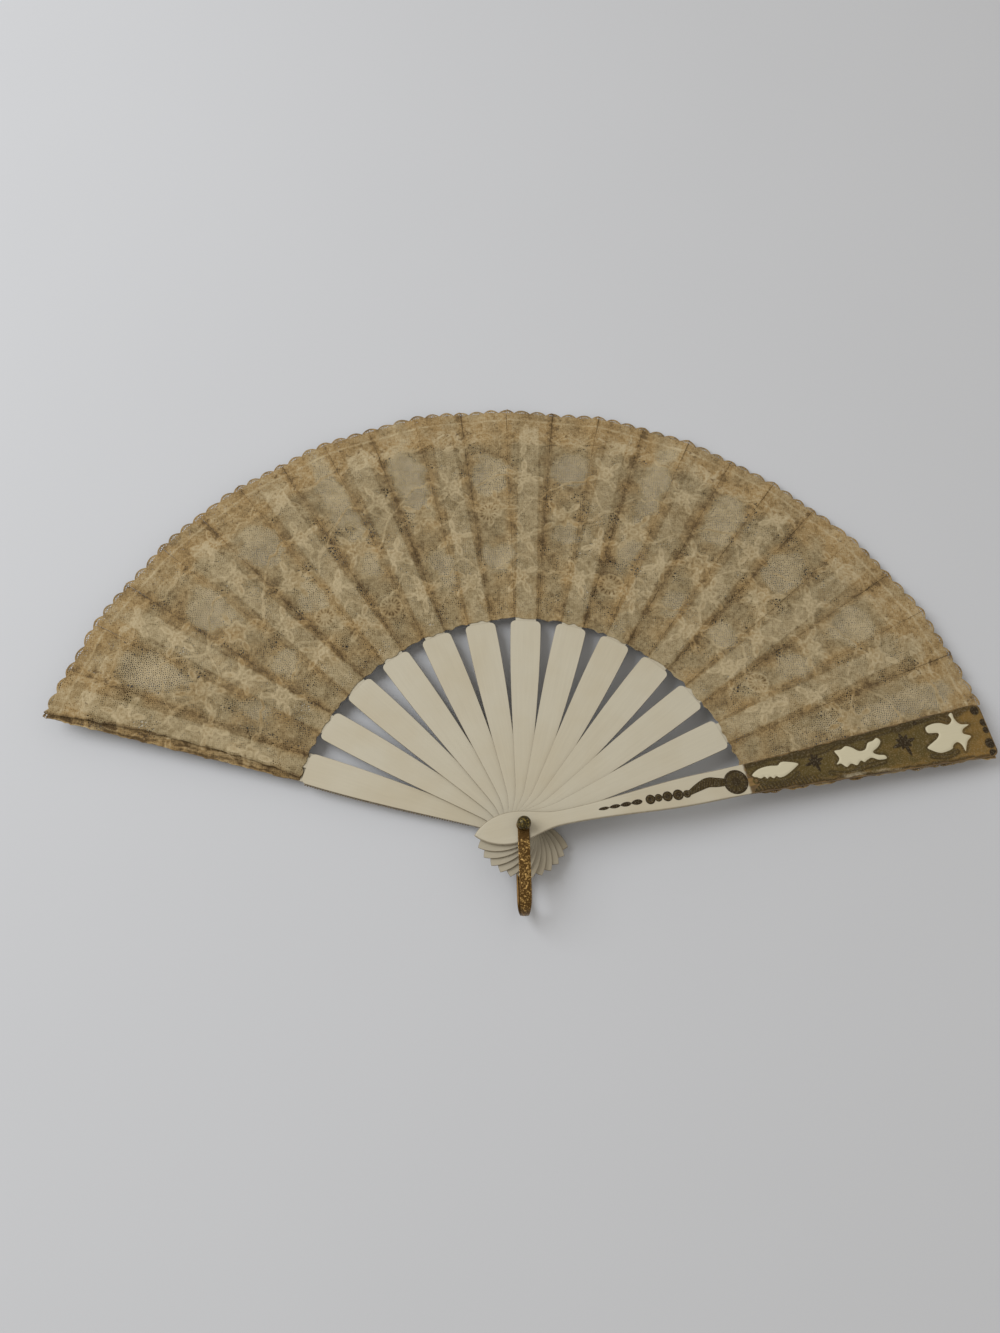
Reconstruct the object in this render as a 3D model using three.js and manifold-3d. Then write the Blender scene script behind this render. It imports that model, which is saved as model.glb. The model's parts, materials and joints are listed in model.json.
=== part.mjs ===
// A lace folding fan: twelve pale sticks and two guards on one rivet, a pleated lace leaf on
// the sticks' thin ribs, and a brass bail that swings on the rivet.
// Millimetres. +Z is the rivet's axis and points out of the front guard, +Y runs along the
// middle of the open fan, and z = 0 is the rivet's lowest face.
import * as THREE from 'three';
import { mergeVertices } from 'three/addons/utils/BufferGeometryUtils.js';
import Module from 'manifold-3d';

const wasm = await Module();
wasm.setup();
const { Manifold, Mesh: SolidMesh } = wasm;

// How the fan spreads
const STICK_COUNT = 12;
const STICK_STEP_DEG = 12.525; // from one stick to the next when open
const MIDDLE_STICK = 7; // the stick that points along +Y
const REAR_GUARD_SLIP_DEG = -0.25; // the rear guard past the first stick, when open
const FRONT_GUARD_STEP_DEG = 13.4; // from the last stick to the front guard

// Sticks
const STICK_THICKNESS = 0.75;
const STICK_CLEARANCE = 0.3; // between one stick and the next
const HEAD_REACH = 22; // from the rivet to the pointed end of a head
const HEAD_HALF_WIDTH = 7.2;
const NECK_RADIUS = 18; // where a stick is narrowest
const NECK_HALF_WIDTH = 3.3;
const SHOULDER_RADIUS = 103;
const SHOULDER_HALF_WIDTH = 7.35;
const SHOULDER_CORNER = 2.4;

// Ribs, the thin ends of the sticks that carry the leaf
const RIB_END_RADIUS = 217;
const RIB_THICKNESS = 0.3;
const RIB_HALF_WIDTH = 5;
const RIB_TIP_HALF_WIDTH = 5.4;
const RIB_LAP = 4; // how far a rib runs into its stick's shoulder
const RIB_TILT_DEG = 2.5; // a rib lies along its pleat, left edge up

// Leaf
const LEAF_RADIUS = 228;
const LEAF_THICKNESS = 0.2;
const LEAF_GLUE_GAP = 0.12; // between the leaf and what carries it
const LEAF_INNER_GAP = 0.4; // between the shoulders and the leaf's inner edge
const FOLD_INSET_DEG = 0.05; // each panel stops this far short of its fold line
const SCALLOP_COUNT = 4; // scallops on one panel's rim
const SCALLOP_DEPTH = 2.2;

// Guards
const GUARD_RADIUS = 224.5;
const FRONT_GUARD_THICKNESS = 2;
const REAR_GUARD_THICKNESS = 1.6;
const GUARD_HEAD_REACH = 22;
const GUARD_NECK_HALF_WIDTH = 3.4;
const GUARD_SHOULDER_RADIUS = 86; // the gorge is widest from here to the leaf
const GUARD_SHOULDER_HALF_WIDTH = 6.9;
const GUARD_TIP_HALF_WIDTH = 13.2;
const FRONT_LEAF_SEAT = 0.75; // how much thinner the front guard is over the leaf
const REAR_LEAF_SEAT = 0.2; // the same on the rear guard

// Ornament on the guards
const FOIL_THICKNESS = 0.3;
const FOIL_GAP = 0.1; // between a foil and the face that it lies on
const FOIL_START_GAP = 2.6; // from the leaf's inner edge to the foil
const FOIL_EDGE_INSET = 0.7;
const FOIL_WAVE = 0.3; // height of the waves along the foil's edge
const FOIL_WAVE_COUNT = 12;
const RELIEF_HEIGHT = 0.5;
const RELIEF_ROOT = 0.2; // how far a carved part runs down into what carries it
const RELIEF_CLEARANCE = 0.35; // between a carved leaf and the foil round it
const MEDALLION_RADIUS = 5.6;
const MEDALLION_SETBACK = 4.5; // from its centre to the leaf's inner edge
const MEDALLION_THICKNESS = 0.6;
const MEDALLION_RING_WIDTH = 1;
const MEDALLION_RING_HEIGHT = 0.25;
const TAIL_LENGTH = 24; // from the scroll's thin end to its first bead
const TAIL_HALF_WIDTH = 0.3;
const SCROLL_HALF_WIDTH = 0.8;
const BEAD_COUNT = 5;
const BEAD_PITCH = 4.3;
const BEAD_RADIUS = 1.9;
const SCROLL_LENGTH = 17.9; // the S between the beads and the medallion
const SCROLL_SWAY = 1.5; // half the height of the S
// Places and lengths along the foil are shares of its length, and widths are shares of the
// guard's half width there.
const STARS = [{ along: 0.26, size: 0.37 }, { along: 0.644, size: 0.42 }];
const CARVED_LEAVES = [
  { along: 0.112, across: 0.117, length: 0.0883, width: 0.389, lobes: 2, depth: 0.1, turn: 0 },
  { along: 0.458, across: 0.041, length: 0.0959, width: 0.467, lobes: 5, depth: 0.24, turn: 0.4 },
  { along: 0.832, across: 0.082, length: 0.0798, width: 0.676, lobes: 5, depth: 0.26, turn: 1.2 },
];

// Rivet, its burr and its collar
const RIVET_RADIUS = 1.35;
const RIVET_HOLE_RADIUS = 1.5;
const RIVET_TAIL_RADIUS = 2.1;
const RIVET_TAIL_HEIGHT = 0.5;
const RIVET_BALL_RADIUS = 3.1;
const RIVET_NECK_RADIUS = 1.9;
const BURR_RADIUS = 2.7;
const BURR_THICKNESS = 0.5;
const COLLAR_RADIUS = 2.5;
const COLLAR_THICKNESS = 0.7;
const WASHER_GAP = 0.2; // between neighbours along the rivet

// Bail, a U of brass strip on the rivet
const BAIL_REACH = 38;
const BAIL_HALF_WIDTH = 2.6;
const BAIL_THICKNESS = 0.6;
const BAIL_EYE_RADIUS = 3.1;
const BAIL_CLEARANCE = 0.3; // between the bail's arms and the guards
const BAIL_REST_DEG = 3; // how far to the right of -Y the bail lies

const CUT_MARGIN = 1; // how far a cut runs past the solid

// Levels along the rivet, from its tail to its ball
const radians = THREE.MathUtils.degToRad;
const pitch = STICK_THICKNESS + STICK_CLEARANCE;
const burrLevel = RIVET_TAIL_HEIGHT + WASHER_GAP;
const bailBottom = burrLevel + BURR_THICKNESS + WASHER_GAP;
const rearGuardLevel = bailBottom + BAIL_THICKNESS + BAIL_CLEARANCE;
const firstStickLevel = rearGuardLevel + REAR_GUARD_THICKNESS + STICK_CLEARANCE;
const frontGuardLevel = firstStickLevel + STICK_COUNT * pitch;
const bailTop = frontGuardLevel + FRONT_GUARD_THICKNESS + BAIL_CLEARANCE + BAIL_THICKNESS;
const collarLevel = bailTop + WASHER_GAP;
const neckLevel = collarLevel + COLLAR_THICKNESS + WASHER_GAP;

// Angles of the pieces, seen from the front, counter-clockwise from +X
const step = radians(STICK_STEP_DEG);
const stickAngle = (index) => Math.PI / 2 + (MIDDLE_STICK - index) * step;
const rearGuardAngle = stickAngle(1) + radians(REAR_GUARD_SLIP_DEG);
const frontGuardAngle = stickAngle(STICK_COUNT) - radians(FRONT_GUARD_STEP_DEG);
const panelHalfAngle = step / 4; // a stick carries one panel, and the next one hangs free

// Where the leaf lies, measured up from the underside of its stick
const leafInner = SHOULDER_RADIUS + LEAF_INNER_GAP;
const leafSeat = STICK_THICKNESS / 2 + RIB_THICKNESS / 2 + LEAF_GLUE_GAP;
const foldSlope = Math.sin(panelHalfAngle) * Math.tan(radians(RIB_TILT_DEG));
const frontLeafLevel = frontGuardLevel + FRONT_LEAF_SEAT - LEAF_GLUE_GAP - LEAF_THICKNESS;
const rearLeafLevel = rearGuardLevel + REAR_GUARD_THICKNESS - REAR_LEAF_SEAT + LEAF_GLUE_GAP;

// Where the ornament lies along a guard
const foilStart = leafInner + FOIL_START_GAP;
const foilLength = GUARD_RADIUS - FOIL_EDGE_INSET - foilStart;
const medallionCentre = leafInner - MEDALLION_SETBACK;
const scrollEnd = medallionCentre - MEDALLION_RADIUS - 2 * FOIL_GAP;
const beadEnd = scrollEnd - SCROLL_LENGTH;
const beadStart = beadEnd - BEAD_PITCH * (BEAD_COUNT - 1);
const scrollStart = beadStart - TAIL_LENGTH;

const materials = {
  ivory: new THREE.MeshStandardMaterial({ color: 0xd6ccb0, roughness: 0.45, metalness: 0 }),
  lace: new THREE.MeshStandardMaterial({ color: 0xb69e78, roughness: 0.9, metalness: 0 }),
  gilt: new THREE.MeshStandardMaterial({ color: 0x7d6535, roughness: 0.5, metalness: 0.7 }),
  brass: new THREE.MeshStandardMaterial({ color: 0xa07c35, roughness: 0.35, metalness: 1 }),
};

const fan = new THREE.Group();

function add(name, geometry, material, angle = 0, level = 0) {
  const mesh = new THREE.Mesh(geometry, material.clone());
  mesh.name = name;
  mesh.rotation.z = angle;
  mesh.position.z = level;
  fan.add(mesh);
  return mesh;
}

// Solids that are cut or joined

function toSolid(geometry) {
  const bare = geometry.index ? geometry.toNonIndexed() : geometry.clone();
  bare.deleteAttribute('normal');
  bare.deleteAttribute('uv');
  const merged = mergeVertices(bare, 1e-4);
  const vertProperties = new Float32Array(merged.attributes.position.array);
  const triVerts = new Uint32Array(merged.index.array);
  return new Manifold(new SolidMesh({ numProp: 3, vertProperties, triVerts }));
}

function toGeometry(solid) {
  const mesh = solid.getMesh();
  const geometry = new THREE.BufferGeometry();
  geometry.setAttribute('position', new THREE.BufferAttribute(mesh.vertProperties, 3));
  geometry.setIndex(new THREE.BufferAttribute(mesh.triVerts, 1));
  return geometry;
}

function plate(shape, thickness, level = 0, curveSegments = 6) {
  const geometry = new THREE.ExtrudeGeometry(shape, { depth: thickness, bevelEnabled: false, curveSegments });
  geometry.translate(0, 0, level);
  return toSolid(geometry);
}

function disc(radius, thickness, level, x = 0, y = 0, sides = 20) {
  const geometry = new THREE.CylinderGeometry(radius, radius, thickness, sides);
  geometry.rotateX(Math.PI / 2);
  geometry.translate(x, y, level + thickness / 2);
  return toSolid(geometry);
}

function block(x0, x1, y0, y1, z0, z1) {
  const geometry = new THREE.BoxGeometry(x1 - x0, y1 - y0, z1 - z0);
  geometry.translate((x0 + x1) / 2, (y0 + y1) / 2, (z0 + z1) / 2);
  return toSolid(geometry);
}

const rivetHole = () => disc(RIVET_HOLE_RADIUS, 4 * bailTop, -2 * bailTop);

// Outlines, drawn with the rivet at the origin and the stick along +X

// A head is an almond: a point on the axis, full sides, and then the neck.
function headInto(shape, reach, neckRadius, neckHalfWidth, side) {
  const full = side * HEAD_HALF_WIDTH;
  if (side < 0) {
    shape.moveTo(-reach, 0);
    shape.bezierCurveTo(-0.85 * reach, 0.6 * full, -0.55 * reach, full, -0.25 * reach, full);
    shape.bezierCurveTo(0.15 * reach, full, 0.4 * reach, side * neckHalfWidth, neckRadius, side * neckHalfWidth);
  } else {
    shape.bezierCurveTo(0.4 * reach, side * neckHalfWidth, 0.15 * reach, full, -0.25 * reach, full);
    shape.bezierCurveTo(-0.55 * reach, full, -0.85 * reach, 0.6 * full, -reach, 0);
  }
}

function stickOutline() {
  const shape = new THREE.Shape();
  const corner = SHOULDER_CORNER;
  const half = SHOULDER_HALF_WIDTH;
  const flank = (t) => NECK_RADIUS + (SHOULDER_RADIUS - corner - NECK_RADIUS) * t;
  const bow = (t) => NECK_HALF_WIDTH + (half - NECK_HALF_WIDTH) * Math.sin((Math.PI / 2) * t ** 1.15);
  headInto(shape, HEAD_REACH, NECK_RADIUS, NECK_HALF_WIDTH, -1);
  const flankPoints = [0.15, 0.3, 0.45, 0.6, 0.8, 1];
  for (const t of flankPoints) shape.lineTo(flank(t), -bow(t));
  shape.quadraticCurveTo(SHOULDER_RADIUS, -half, SHOULDER_RADIUS, -half + corner);
  shape.lineTo(SHOULDER_RADIUS, half - corner);
  shape.quadraticCurveTo(SHOULDER_RADIUS, half, SHOULDER_RADIUS - corner, half);
  for (const t of [...flankPoints].reverse().slice(1)) shape.lineTo(flank(t), bow(t));
  shape.lineTo(NECK_RADIUS, NECK_HALF_WIDTH);
  headInto(shape, HEAD_REACH, NECK_RADIUS, NECK_HALF_WIDTH, 1);
  return shape;
}

// Half a guard's width at a radius: a slow swell to the shoulder, then a straight flare.
function guardHalfWidth(radius) {
  if (radius <= GUARD_SHOULDER_RADIUS) {
    const t = Math.max(0, (radius - NECK_RADIUS) / (GUARD_SHOULDER_RADIUS - NECK_RADIUS));
    const swell = (1 - Math.cos(Math.PI * t)) / 2;
    return GUARD_NECK_HALF_WIDTH + (GUARD_SHOULDER_HALF_WIDTH - GUARD_NECK_HALF_WIDTH) * swell;
  }
  if (radius <= leafInner) return GUARD_SHOULDER_HALF_WIDTH;
  const t = (radius - leafInner) / (GUARD_RADIUS - leafInner);
  return GUARD_SHOULDER_HALF_WIDTH + (GUARD_TIP_HALF_WIDTH - GUARD_SHOULDER_HALF_WIDTH) * t;
}

function guardOutline() {
  const shape = new THREE.Shape();
  const gorge = [1, 2, 3, 4, 5, 6].map((i) => NECK_RADIUS + ((GUARD_SHOULDER_RADIUS - NECK_RADIUS) * i) / 6);
  const stations = [...gorge, leafInner, GUARD_RADIUS];
  headInto(shape, GUARD_HEAD_REACH, NECK_RADIUS, GUARD_NECK_HALF_WIDTH, -1);
  for (const radius of stations) shape.lineTo(radius, -guardHalfWidth(radius));
  for (const radius of [...stations].reverse()) shape.lineTo(radius, guardHalfWidth(radius));
  shape.lineTo(NECK_RADIUS, GUARD_NECK_HALF_WIDTH);
  headInto(shape, GUARD_HEAD_REACH, NECK_RADIUS, GUARD_NECK_HALF_WIDTH, 1);
  return shape;
}

// A carved leaf: an oval whose radius ripples with its lobes.
function carvedLeafPoints(leaf, growth) {
  const count = 6 * leaf.lobes + 8;
  const x = foilStart + foilLength * leaf.along;
  const full = guardHalfWidth(x);
  return Array.from({ length: count }, (_, i) => {
    const a = (2 * Math.PI * i) / count;
    const ripple = 1 - leaf.depth + leaf.depth * Math.cos(leaf.lobes * a + leaf.turn);
    return new THREE.Vector2(
      x + (leaf.length * foilLength * ripple + growth) * Math.cos(a),
      full * leaf.across + (leaf.width * full * ripple + growth) * Math.sin(a),
    );
  });
}

// The pieces

function stick() {
  const body = plate(stickOutline(), STICK_THICKNESS);
  const ribShape = new THREE.Shape();
  const ribStart = SHOULDER_RADIUS - RIB_LAP;
  ribShape.moveTo(ribStart, -RIB_HALF_WIDTH);
  ribShape.lineTo(RIB_END_RADIUS, -RIB_TIP_HALF_WIDTH);
  ribShape.lineTo(RIB_END_RADIUS, RIB_TIP_HALF_WIDTH);
  ribShape.lineTo(ribStart, RIB_HALF_WIDTH);
  const ribGeometry = new THREE.ExtrudeGeometry(ribShape, { depth: RIB_THICKNESS, bevelEnabled: false });
  ribGeometry.translate(0, 0, -RIB_THICKNESS / 2);
  ribGeometry.rotateX(radians(RIB_TILT_DEG));
  ribGeometry.translate(0, 0, STICK_THICKNESS / 2);
  return toGeometry(body.add(toSolid(ribGeometry)).subtract(rivetHole()));
}

function guard(thickness, seat, seatUnderneath, relief) {
  let body = plate(guardOutline(), thickness);
  const low = seatUnderneath ? -CUT_MARGIN : thickness - seat;
  const high = seatUnderneath ? seat : thickness + CUT_MARGIN;
  const side = GUARD_TIP_HALF_WIDTH + CUT_MARGIN;
  body = body.subtract(block(SHOULDER_RADIUS, GUARD_RADIUS + CUT_MARGIN, -side, side, low, high));
  if (relief) {
    for (const leaf of CARVED_LEAVES) {
      const carved = new THREE.Shape(carvedLeafPoints(leaf, 0));
      body = body.add(plate(carved, RELIEF_HEIGHT + RELIEF_ROOT, thickness - RELIEF_ROOT));
    }
  }
  return toGeometry(body.subtract(rivetHole()));
}

// One panel of the leaf between two angles, as a grid with a scalloped rim. heightAt gives
// the underside's level for a share across the panel, 0 at its right edge, and a radius.
function leafPanel(fromAngle, toAngle, heightAt) {
  const columns = 3 * SCALLOP_COUNT;
  const rows = 2;
  const inset = radians(FOLD_INSET_DEG);
  const positions = [];
  for (const lift of [0, LEAF_THICKNESS]) {
    for (let i = 0; i <= columns; i += 1) {
      const share = i / columns;
      const angle = fromAngle + inset + (toAngle - fromAngle - 2 * inset) * share;
      const bump = Math.abs(Math.sin(Math.PI * SCALLOP_COUNT * share));
      const rim = LEAF_RADIUS - SCALLOP_DEPTH * (1 - bump);
      for (let j = 0; j <= rows; j += 1) {
        const radius = leafInner + ((rim - leafInner) * j) / rows;
        const height = heightAt(share, radius) + lift;
        positions.push(radius * Math.cos(angle), radius * Math.sin(angle), height);
      }
    }
  }
  const layer = (columns + 1) * (rows + 1);
  const at = (i, j, top) => top * layer + i * (rows + 1) + j;
  const faces = [];
  const quad = (a, b, c, d) => faces.push(a, b, c, a, c, d);
  for (let i = 0; i < columns; i += 1) {
    for (let j = 0; j < rows; j += 1) {
      quad(at(i, j, 1), at(i, j + 1, 1), at(i + 1, j + 1, 1), at(i + 1, j, 1));
      quad(at(i, j, 0), at(i + 1, j, 0), at(i + 1, j + 1, 0), at(i, j + 1, 0));
    }
    quad(at(i, 0, 0), at(i, 0, 1), at(i + 1, 0, 1), at(i + 1, 0, 0));
    quad(at(i, rows, 0), at(i + 1, rows, 0), at(i + 1, rows, 1), at(i, rows, 1));
  }
  for (let j = 0; j < rows; j += 1) {
    quad(at(0, j, 0), at(0, j + 1, 0), at(0, j + 1, 1), at(0, j, 1));
    quad(at(columns, j, 0), at(columns, j, 1), at(columns, j + 1, 1), at(columns, j + 1, 0));
  }
  const geometry = new THREE.BufferGeometry();
  geometry.setAttribute('position', new THREE.Float32BufferAttribute(positions, 3));
  geometry.setIndex(faces);
  return geometry;
}

// The panel glued to a rib: its left edge is a ridge and its right edge a valley.
function ribPanel() {
  const tilt = Math.tan(radians(RIB_TILT_DEG));
  const heightAt = (share, radius) => leafSeat + radius * Math.sin((2 * share - 1) * panelHalfAngle) * tilt;
  return leafPanel(-panelHalfAngle, panelHalfAngle, heightAt);
}

// The free panel from a stick's valley up to the ridge at the left edge of what comes next.
function freePanel(gapAngle, nextLevel, nextSlope) {
  const valley = (radius) => leafSeat - radius * foldSlope;
  const ridge = (radius) => nextLevel + radius * nextSlope;
  const heightAt = (share, radius) => ridge(radius) * (1 - share) + valley(radius) * share;
  return leafPanel(-gapAngle + panelHalfAngle, -panelHalfAngle, heightAt);
}

function foilGround() {
  const side = (sign) => {
    const samples = 2 * FOIL_WAVE_COUNT;
    return Array.from({ length: samples + 1 }, (_, i) => {
      const radius = foilStart + (foilLength * i) / samples;
      const wave = FOIL_WAVE * Math.cos(Math.PI * i);
      return new THREE.Vector2(radius, sign * (guardHalfWidth(radius) - FOIL_EDGE_INSET + wave));
    });
  };
  const shape = new THREE.Shape([...side(-1), ...side(1).reverse()]);
  for (const leaf of CARVED_LEAVES) shape.holes.push(new THREE.Path(carvedLeafPoints(leaf, RELIEF_CLEARANCE)));
  return toGeometry(plate(shape, FOIL_THICKNESS));
}

function star(radius) {
  const points = Array.from({ length: 12 }, (_, i) => {
    const reach = i % 2 ? 0.22 * radius : radius * (i % 4 ? 0.75 : 1);
    const a = (Math.PI * i) / 6;
    return new THREE.Vector2(reach * Math.cos(a), reach * Math.sin(a));
  });
  return toGeometry(plate(new THREE.Shape(points), FOIL_THICKNESS));
}

// A boss with a raised ring round its edge.
function medallion() {
  const floor = MEDALLION_THICKNESS - MEDALLION_RING_HEIGHT;
  const boss = disc(MEDALLION_RADIUS, MEDALLION_THICKNESS, 0, 0, 0, 32);
  const dish = disc(MEDALLION_RADIUS - MEDALLION_RING_WIDTH, MEDALLION_THICKNESS, floor, 0, 0, 32);
  const buttonHeight = MEDALLION_RING_HEIGHT + RELIEF_ROOT;
  const button = disc(0.4 * MEDALLION_RADIUS, buttonHeight, floor - RELIEF_ROOT, 0, 0, 16);
  return toGeometry(boss.subtract(dish).add(button));
}

// A tapering tail, a string of beads and an S that ends at the medallion.
function scroll() {
  const centre = (x) => SCROLL_SWAY * Math.sin((2 * Math.PI * Math.max(0, x - beadEnd)) / SCROLL_LENGTH);
  const half = (x) => {
    const share = Math.min(1, (x - scrollStart) / TAIL_LENGTH);
    return TAIL_HALF_WIDTH + (SCROLL_HALF_WIDTH - TAIL_HALF_WIDTH) * share;
  };
  const samples = Array.from({ length: 21 }, (_, i) => scrollStart + ((scrollEnd - scrollStart) * i) / 20);
  const low = samples.map((x) => new THREE.Vector2(x, centre(x) - half(x)));
  const high = samples.map((x) => new THREE.Vector2(x, centre(x) + half(x))).reverse();
  let band = plate(new THREE.Shape([...low, ...high]), FOIL_THICKNESS);
  for (let i = 0; i < BEAD_COUNT; i += 1) {
    band = band.add(disc(BEAD_RADIUS, FOIL_THICKNESS, 0, beadStart + i * BEAD_PITCH, 0, 10));
  }
  return toGeometry(band);
}

// The rivet turned as one profile: peened tail, shank, neck and ball.
function rivet() {
  const ballCentre = neckLevel + Math.sqrt(RIVET_BALL_RADIUS ** 2 - RIVET_NECK_RADIUS ** 2);
  const points = [
    new THREE.Vector2(0, 0),
    new THREE.Vector2(RIVET_TAIL_RADIUS, 0),
    new THREE.Vector2(RIVET_TAIL_RADIUS, RIVET_TAIL_HEIGHT),
    new THREE.Vector2(RIVET_RADIUS, RIVET_TAIL_HEIGHT),
    new THREE.Vector2(RIVET_RADIUS, neckLevel),
  ];
  const start = -Math.asin(Math.sqrt(1 - (RIVET_NECK_RADIUS / RIVET_BALL_RADIUS) ** 2));
  for (let i = 0; i <= 9; i += 1) {
    const a = start + ((Math.PI / 2 - start) * i) / 9;
    const x = i === 9 ? 0 : RIVET_BALL_RADIUS * Math.cos(a);
    points.push(new THREE.Vector2(x, ballCentre + RIVET_BALL_RADIUS * Math.sin(a)));
  }
  const geometry = new THREE.LatheGeometry(points, 20);
  geometry.rotateX(Math.PI / 2);
  return toGeometry(toSolid(geometry));
}

function washer(radius, thickness) {
  return toGeometry(disc(radius, thickness, 0).subtract(rivetHole()));
}

// A U of strip seen from the side, with an eye on the rivet at each end.
function bail() {
  const outer = (bailTop - bailBottom) / 2;
  const inner = outer - BAIL_THICKNESS;
  const bend = BAIL_REACH - outer;
  const shape = new THREE.Shape();
  shape.moveTo(0, -outer);
  shape.lineTo(bend, -outer);
  shape.absarc(bend, 0, outer, -Math.PI / 2, Math.PI / 2, false);
  shape.lineTo(0, outer);
  shape.lineTo(0, inner);
  shape.lineTo(bend, inner);
  shape.absarc(bend, 0, inner, Math.PI / 2, -Math.PI / 2, true);
  shape.lineTo(0, -inner);
  const strip = new THREE.ExtrudeGeometry(shape, { depth: 2 * BAIL_HALF_WIDTH, bevelEnabled: false, curveSegments: 10 });
  strip.translate(0, 0, -BAIL_HALF_WIDTH);
  strip.rotateX(Math.PI / 2);
  strip.rotateZ(-Math.PI / 2);
  strip.translate(0, 0, bailBottom + outer);
  let body = toSolid(strip);
  for (const level of [bailBottom, bailTop - BAIL_THICKNESS]) {
    body = body.add(disc(BAIL_EYE_RADIUS, BAIL_THICKNESS, level));
  }
  return toGeometry(body.subtract(rivetHole()));
}

// Assembly

const pad = (index) => String(index).padStart(2, '0');

add('rivet', rivet(), materials.brass);
add('rivet_burr', washer(BURR_RADIUS, BURR_THICKNESS), materials.brass, 0, burrLevel);
add('rivet_collar', washer(COLLAR_RADIUS, COLLAR_THICKNESS), materials.brass, 0, collarLevel);
add('bail', bail(), materials.brass, radians(BAIL_REST_DEG));

const rearGuard = guard(REAR_GUARD_THICKNESS, REAR_LEAF_SEAT, false, false);
add('rear_guard', rearGuard, materials.ivory, rearGuardAngle, rearGuardLevel);
const rearFoilLevel = rearGuardLevel - FOIL_GAP - FOIL_THICKNESS;
add('rear_gilt_ground', foilGround(), materials.gilt, rearGuardAngle, rearFoilLevel);
const flatPanel = () => leafPanel(-panelHalfAngle, panelHalfAngle, () => 0);
add('leaf_rear_end', flatPanel(), materials.lace, rearGuardAngle, rearLeafLevel);

for (let index = 1; index <= STICK_COUNT; index += 1) {
  const level = firstStickLevel + (index - 1) * pitch;
  const last = index === STICK_COUNT;
  const gap = last ? radians(FRONT_GUARD_STEP_DEG) : step;
  const nextLevel = last ? frontLeafLevel - level : pitch + leafSeat;
  add(`stick_${pad(index)}`, stick(), materials.ivory, stickAngle(index), level);
  add(`leaf_rib_panel_${pad(index)}`, ribPanel(), materials.lace, stickAngle(index), level);
  const free = freePanel(gap, nextLevel, last ? 0 : foldSlope);
  add(`leaf_free_panel_${pad(index)}`, free, materials.lace, stickAngle(index), level);
}

const frontGuardTop = frontGuardLevel + FRONT_GUARD_THICKNESS;
const frontGuard = guard(FRONT_GUARD_THICKNESS, FRONT_LEAF_SEAT, true, true);
add('front_guard', frontGuard, materials.ivory, frontGuardAngle, frontGuardLevel);
add('leaf_front_end', flatPanel(), materials.lace, frontGuardAngle, frontLeafLevel);
add('front_gilt_ground', foilGround(), materials.gilt, frontGuardAngle, frontGuardTop + FOIL_GAP);
add('front_scroll', scroll(), materials.gilt, frontGuardAngle, frontGuardTop + FOIL_GAP);
const boss = add('front_medallion', medallion(), materials.gilt, frontGuardAngle, frontGuardTop + FOIL_GAP);
boss.position.x = medallionCentre * Math.cos(frontGuardAngle);
boss.position.y = medallionCentre * Math.sin(frontGuardAngle);
const starLevel = frontGuardTop + 2 * FOIL_GAP + FOIL_THICKNESS;
STARS.forEach(({ along, size }, i) => {
  const x = foilStart + foilLength * along;
  const points = star(size * guardHalfWidth(x));
  const mesh = add(`front_star_${i + 1}`, points, materials.gilt, frontGuardAngle, starLevel);
  mesh.position.x = x * Math.cos(frontGuardAngle);
  mesh.position.y = x * Math.sin(frontGuardAngle);
});

export default fan;
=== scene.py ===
import json
import math

import bpy
import numpy as np
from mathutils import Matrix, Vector
from mathutils.geometry import tessellate_polygon

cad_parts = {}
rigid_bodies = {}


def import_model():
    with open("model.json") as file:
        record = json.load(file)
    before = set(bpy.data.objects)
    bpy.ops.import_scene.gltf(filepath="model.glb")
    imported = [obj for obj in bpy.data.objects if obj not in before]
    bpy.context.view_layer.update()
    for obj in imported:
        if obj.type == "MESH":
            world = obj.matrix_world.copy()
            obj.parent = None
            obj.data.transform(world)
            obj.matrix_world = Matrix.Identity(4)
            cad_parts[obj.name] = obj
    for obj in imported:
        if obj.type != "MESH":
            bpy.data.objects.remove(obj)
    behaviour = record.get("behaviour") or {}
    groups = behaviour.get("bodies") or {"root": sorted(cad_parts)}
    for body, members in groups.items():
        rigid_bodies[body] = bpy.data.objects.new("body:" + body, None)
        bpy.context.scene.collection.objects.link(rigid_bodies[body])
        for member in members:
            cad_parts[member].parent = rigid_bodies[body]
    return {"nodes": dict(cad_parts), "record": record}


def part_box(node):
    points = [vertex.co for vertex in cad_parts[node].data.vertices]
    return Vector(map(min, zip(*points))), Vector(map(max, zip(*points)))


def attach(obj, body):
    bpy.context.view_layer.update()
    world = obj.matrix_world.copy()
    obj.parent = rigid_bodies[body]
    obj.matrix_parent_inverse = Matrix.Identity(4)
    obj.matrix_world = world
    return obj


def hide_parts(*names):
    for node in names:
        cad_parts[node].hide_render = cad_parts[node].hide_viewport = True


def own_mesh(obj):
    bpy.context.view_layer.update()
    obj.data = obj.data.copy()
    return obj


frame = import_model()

bl_info = {
    "name": "Lace folding fan",
    "version": (1, 0, 0),
    "blender": (4, 5, 0),
    "location": "View3D > Sidebar > Fan",
    "description": "Dresses a lady's folding fan: sticks, guards, pleated lace leaf, rivet and bail",
    "category": "Add Mesh",
}

MM = 0.001
STICK_COUNT = 12
MIDDLE_STICK = 7


def box_mm(node):
    """The lowest and highest corner of a construction node, in millimetres."""
    low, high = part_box(node)
    return np.array(low) / MM, np.array(high) / MM


# Sizes and colours that a user may change


def length(name, default, description):
    """A size that a user may change."""
    return bpy.props.FloatProperty(name=name, default=default, description=description, precision=3)


def colour(name, default, description):
    """A colour that a user may change."""
    return bpy.props.FloatVectorProperty(
        name=name, default=default, description=description, subtype="COLOR", size=3, min=0, max=1
    )


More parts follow.
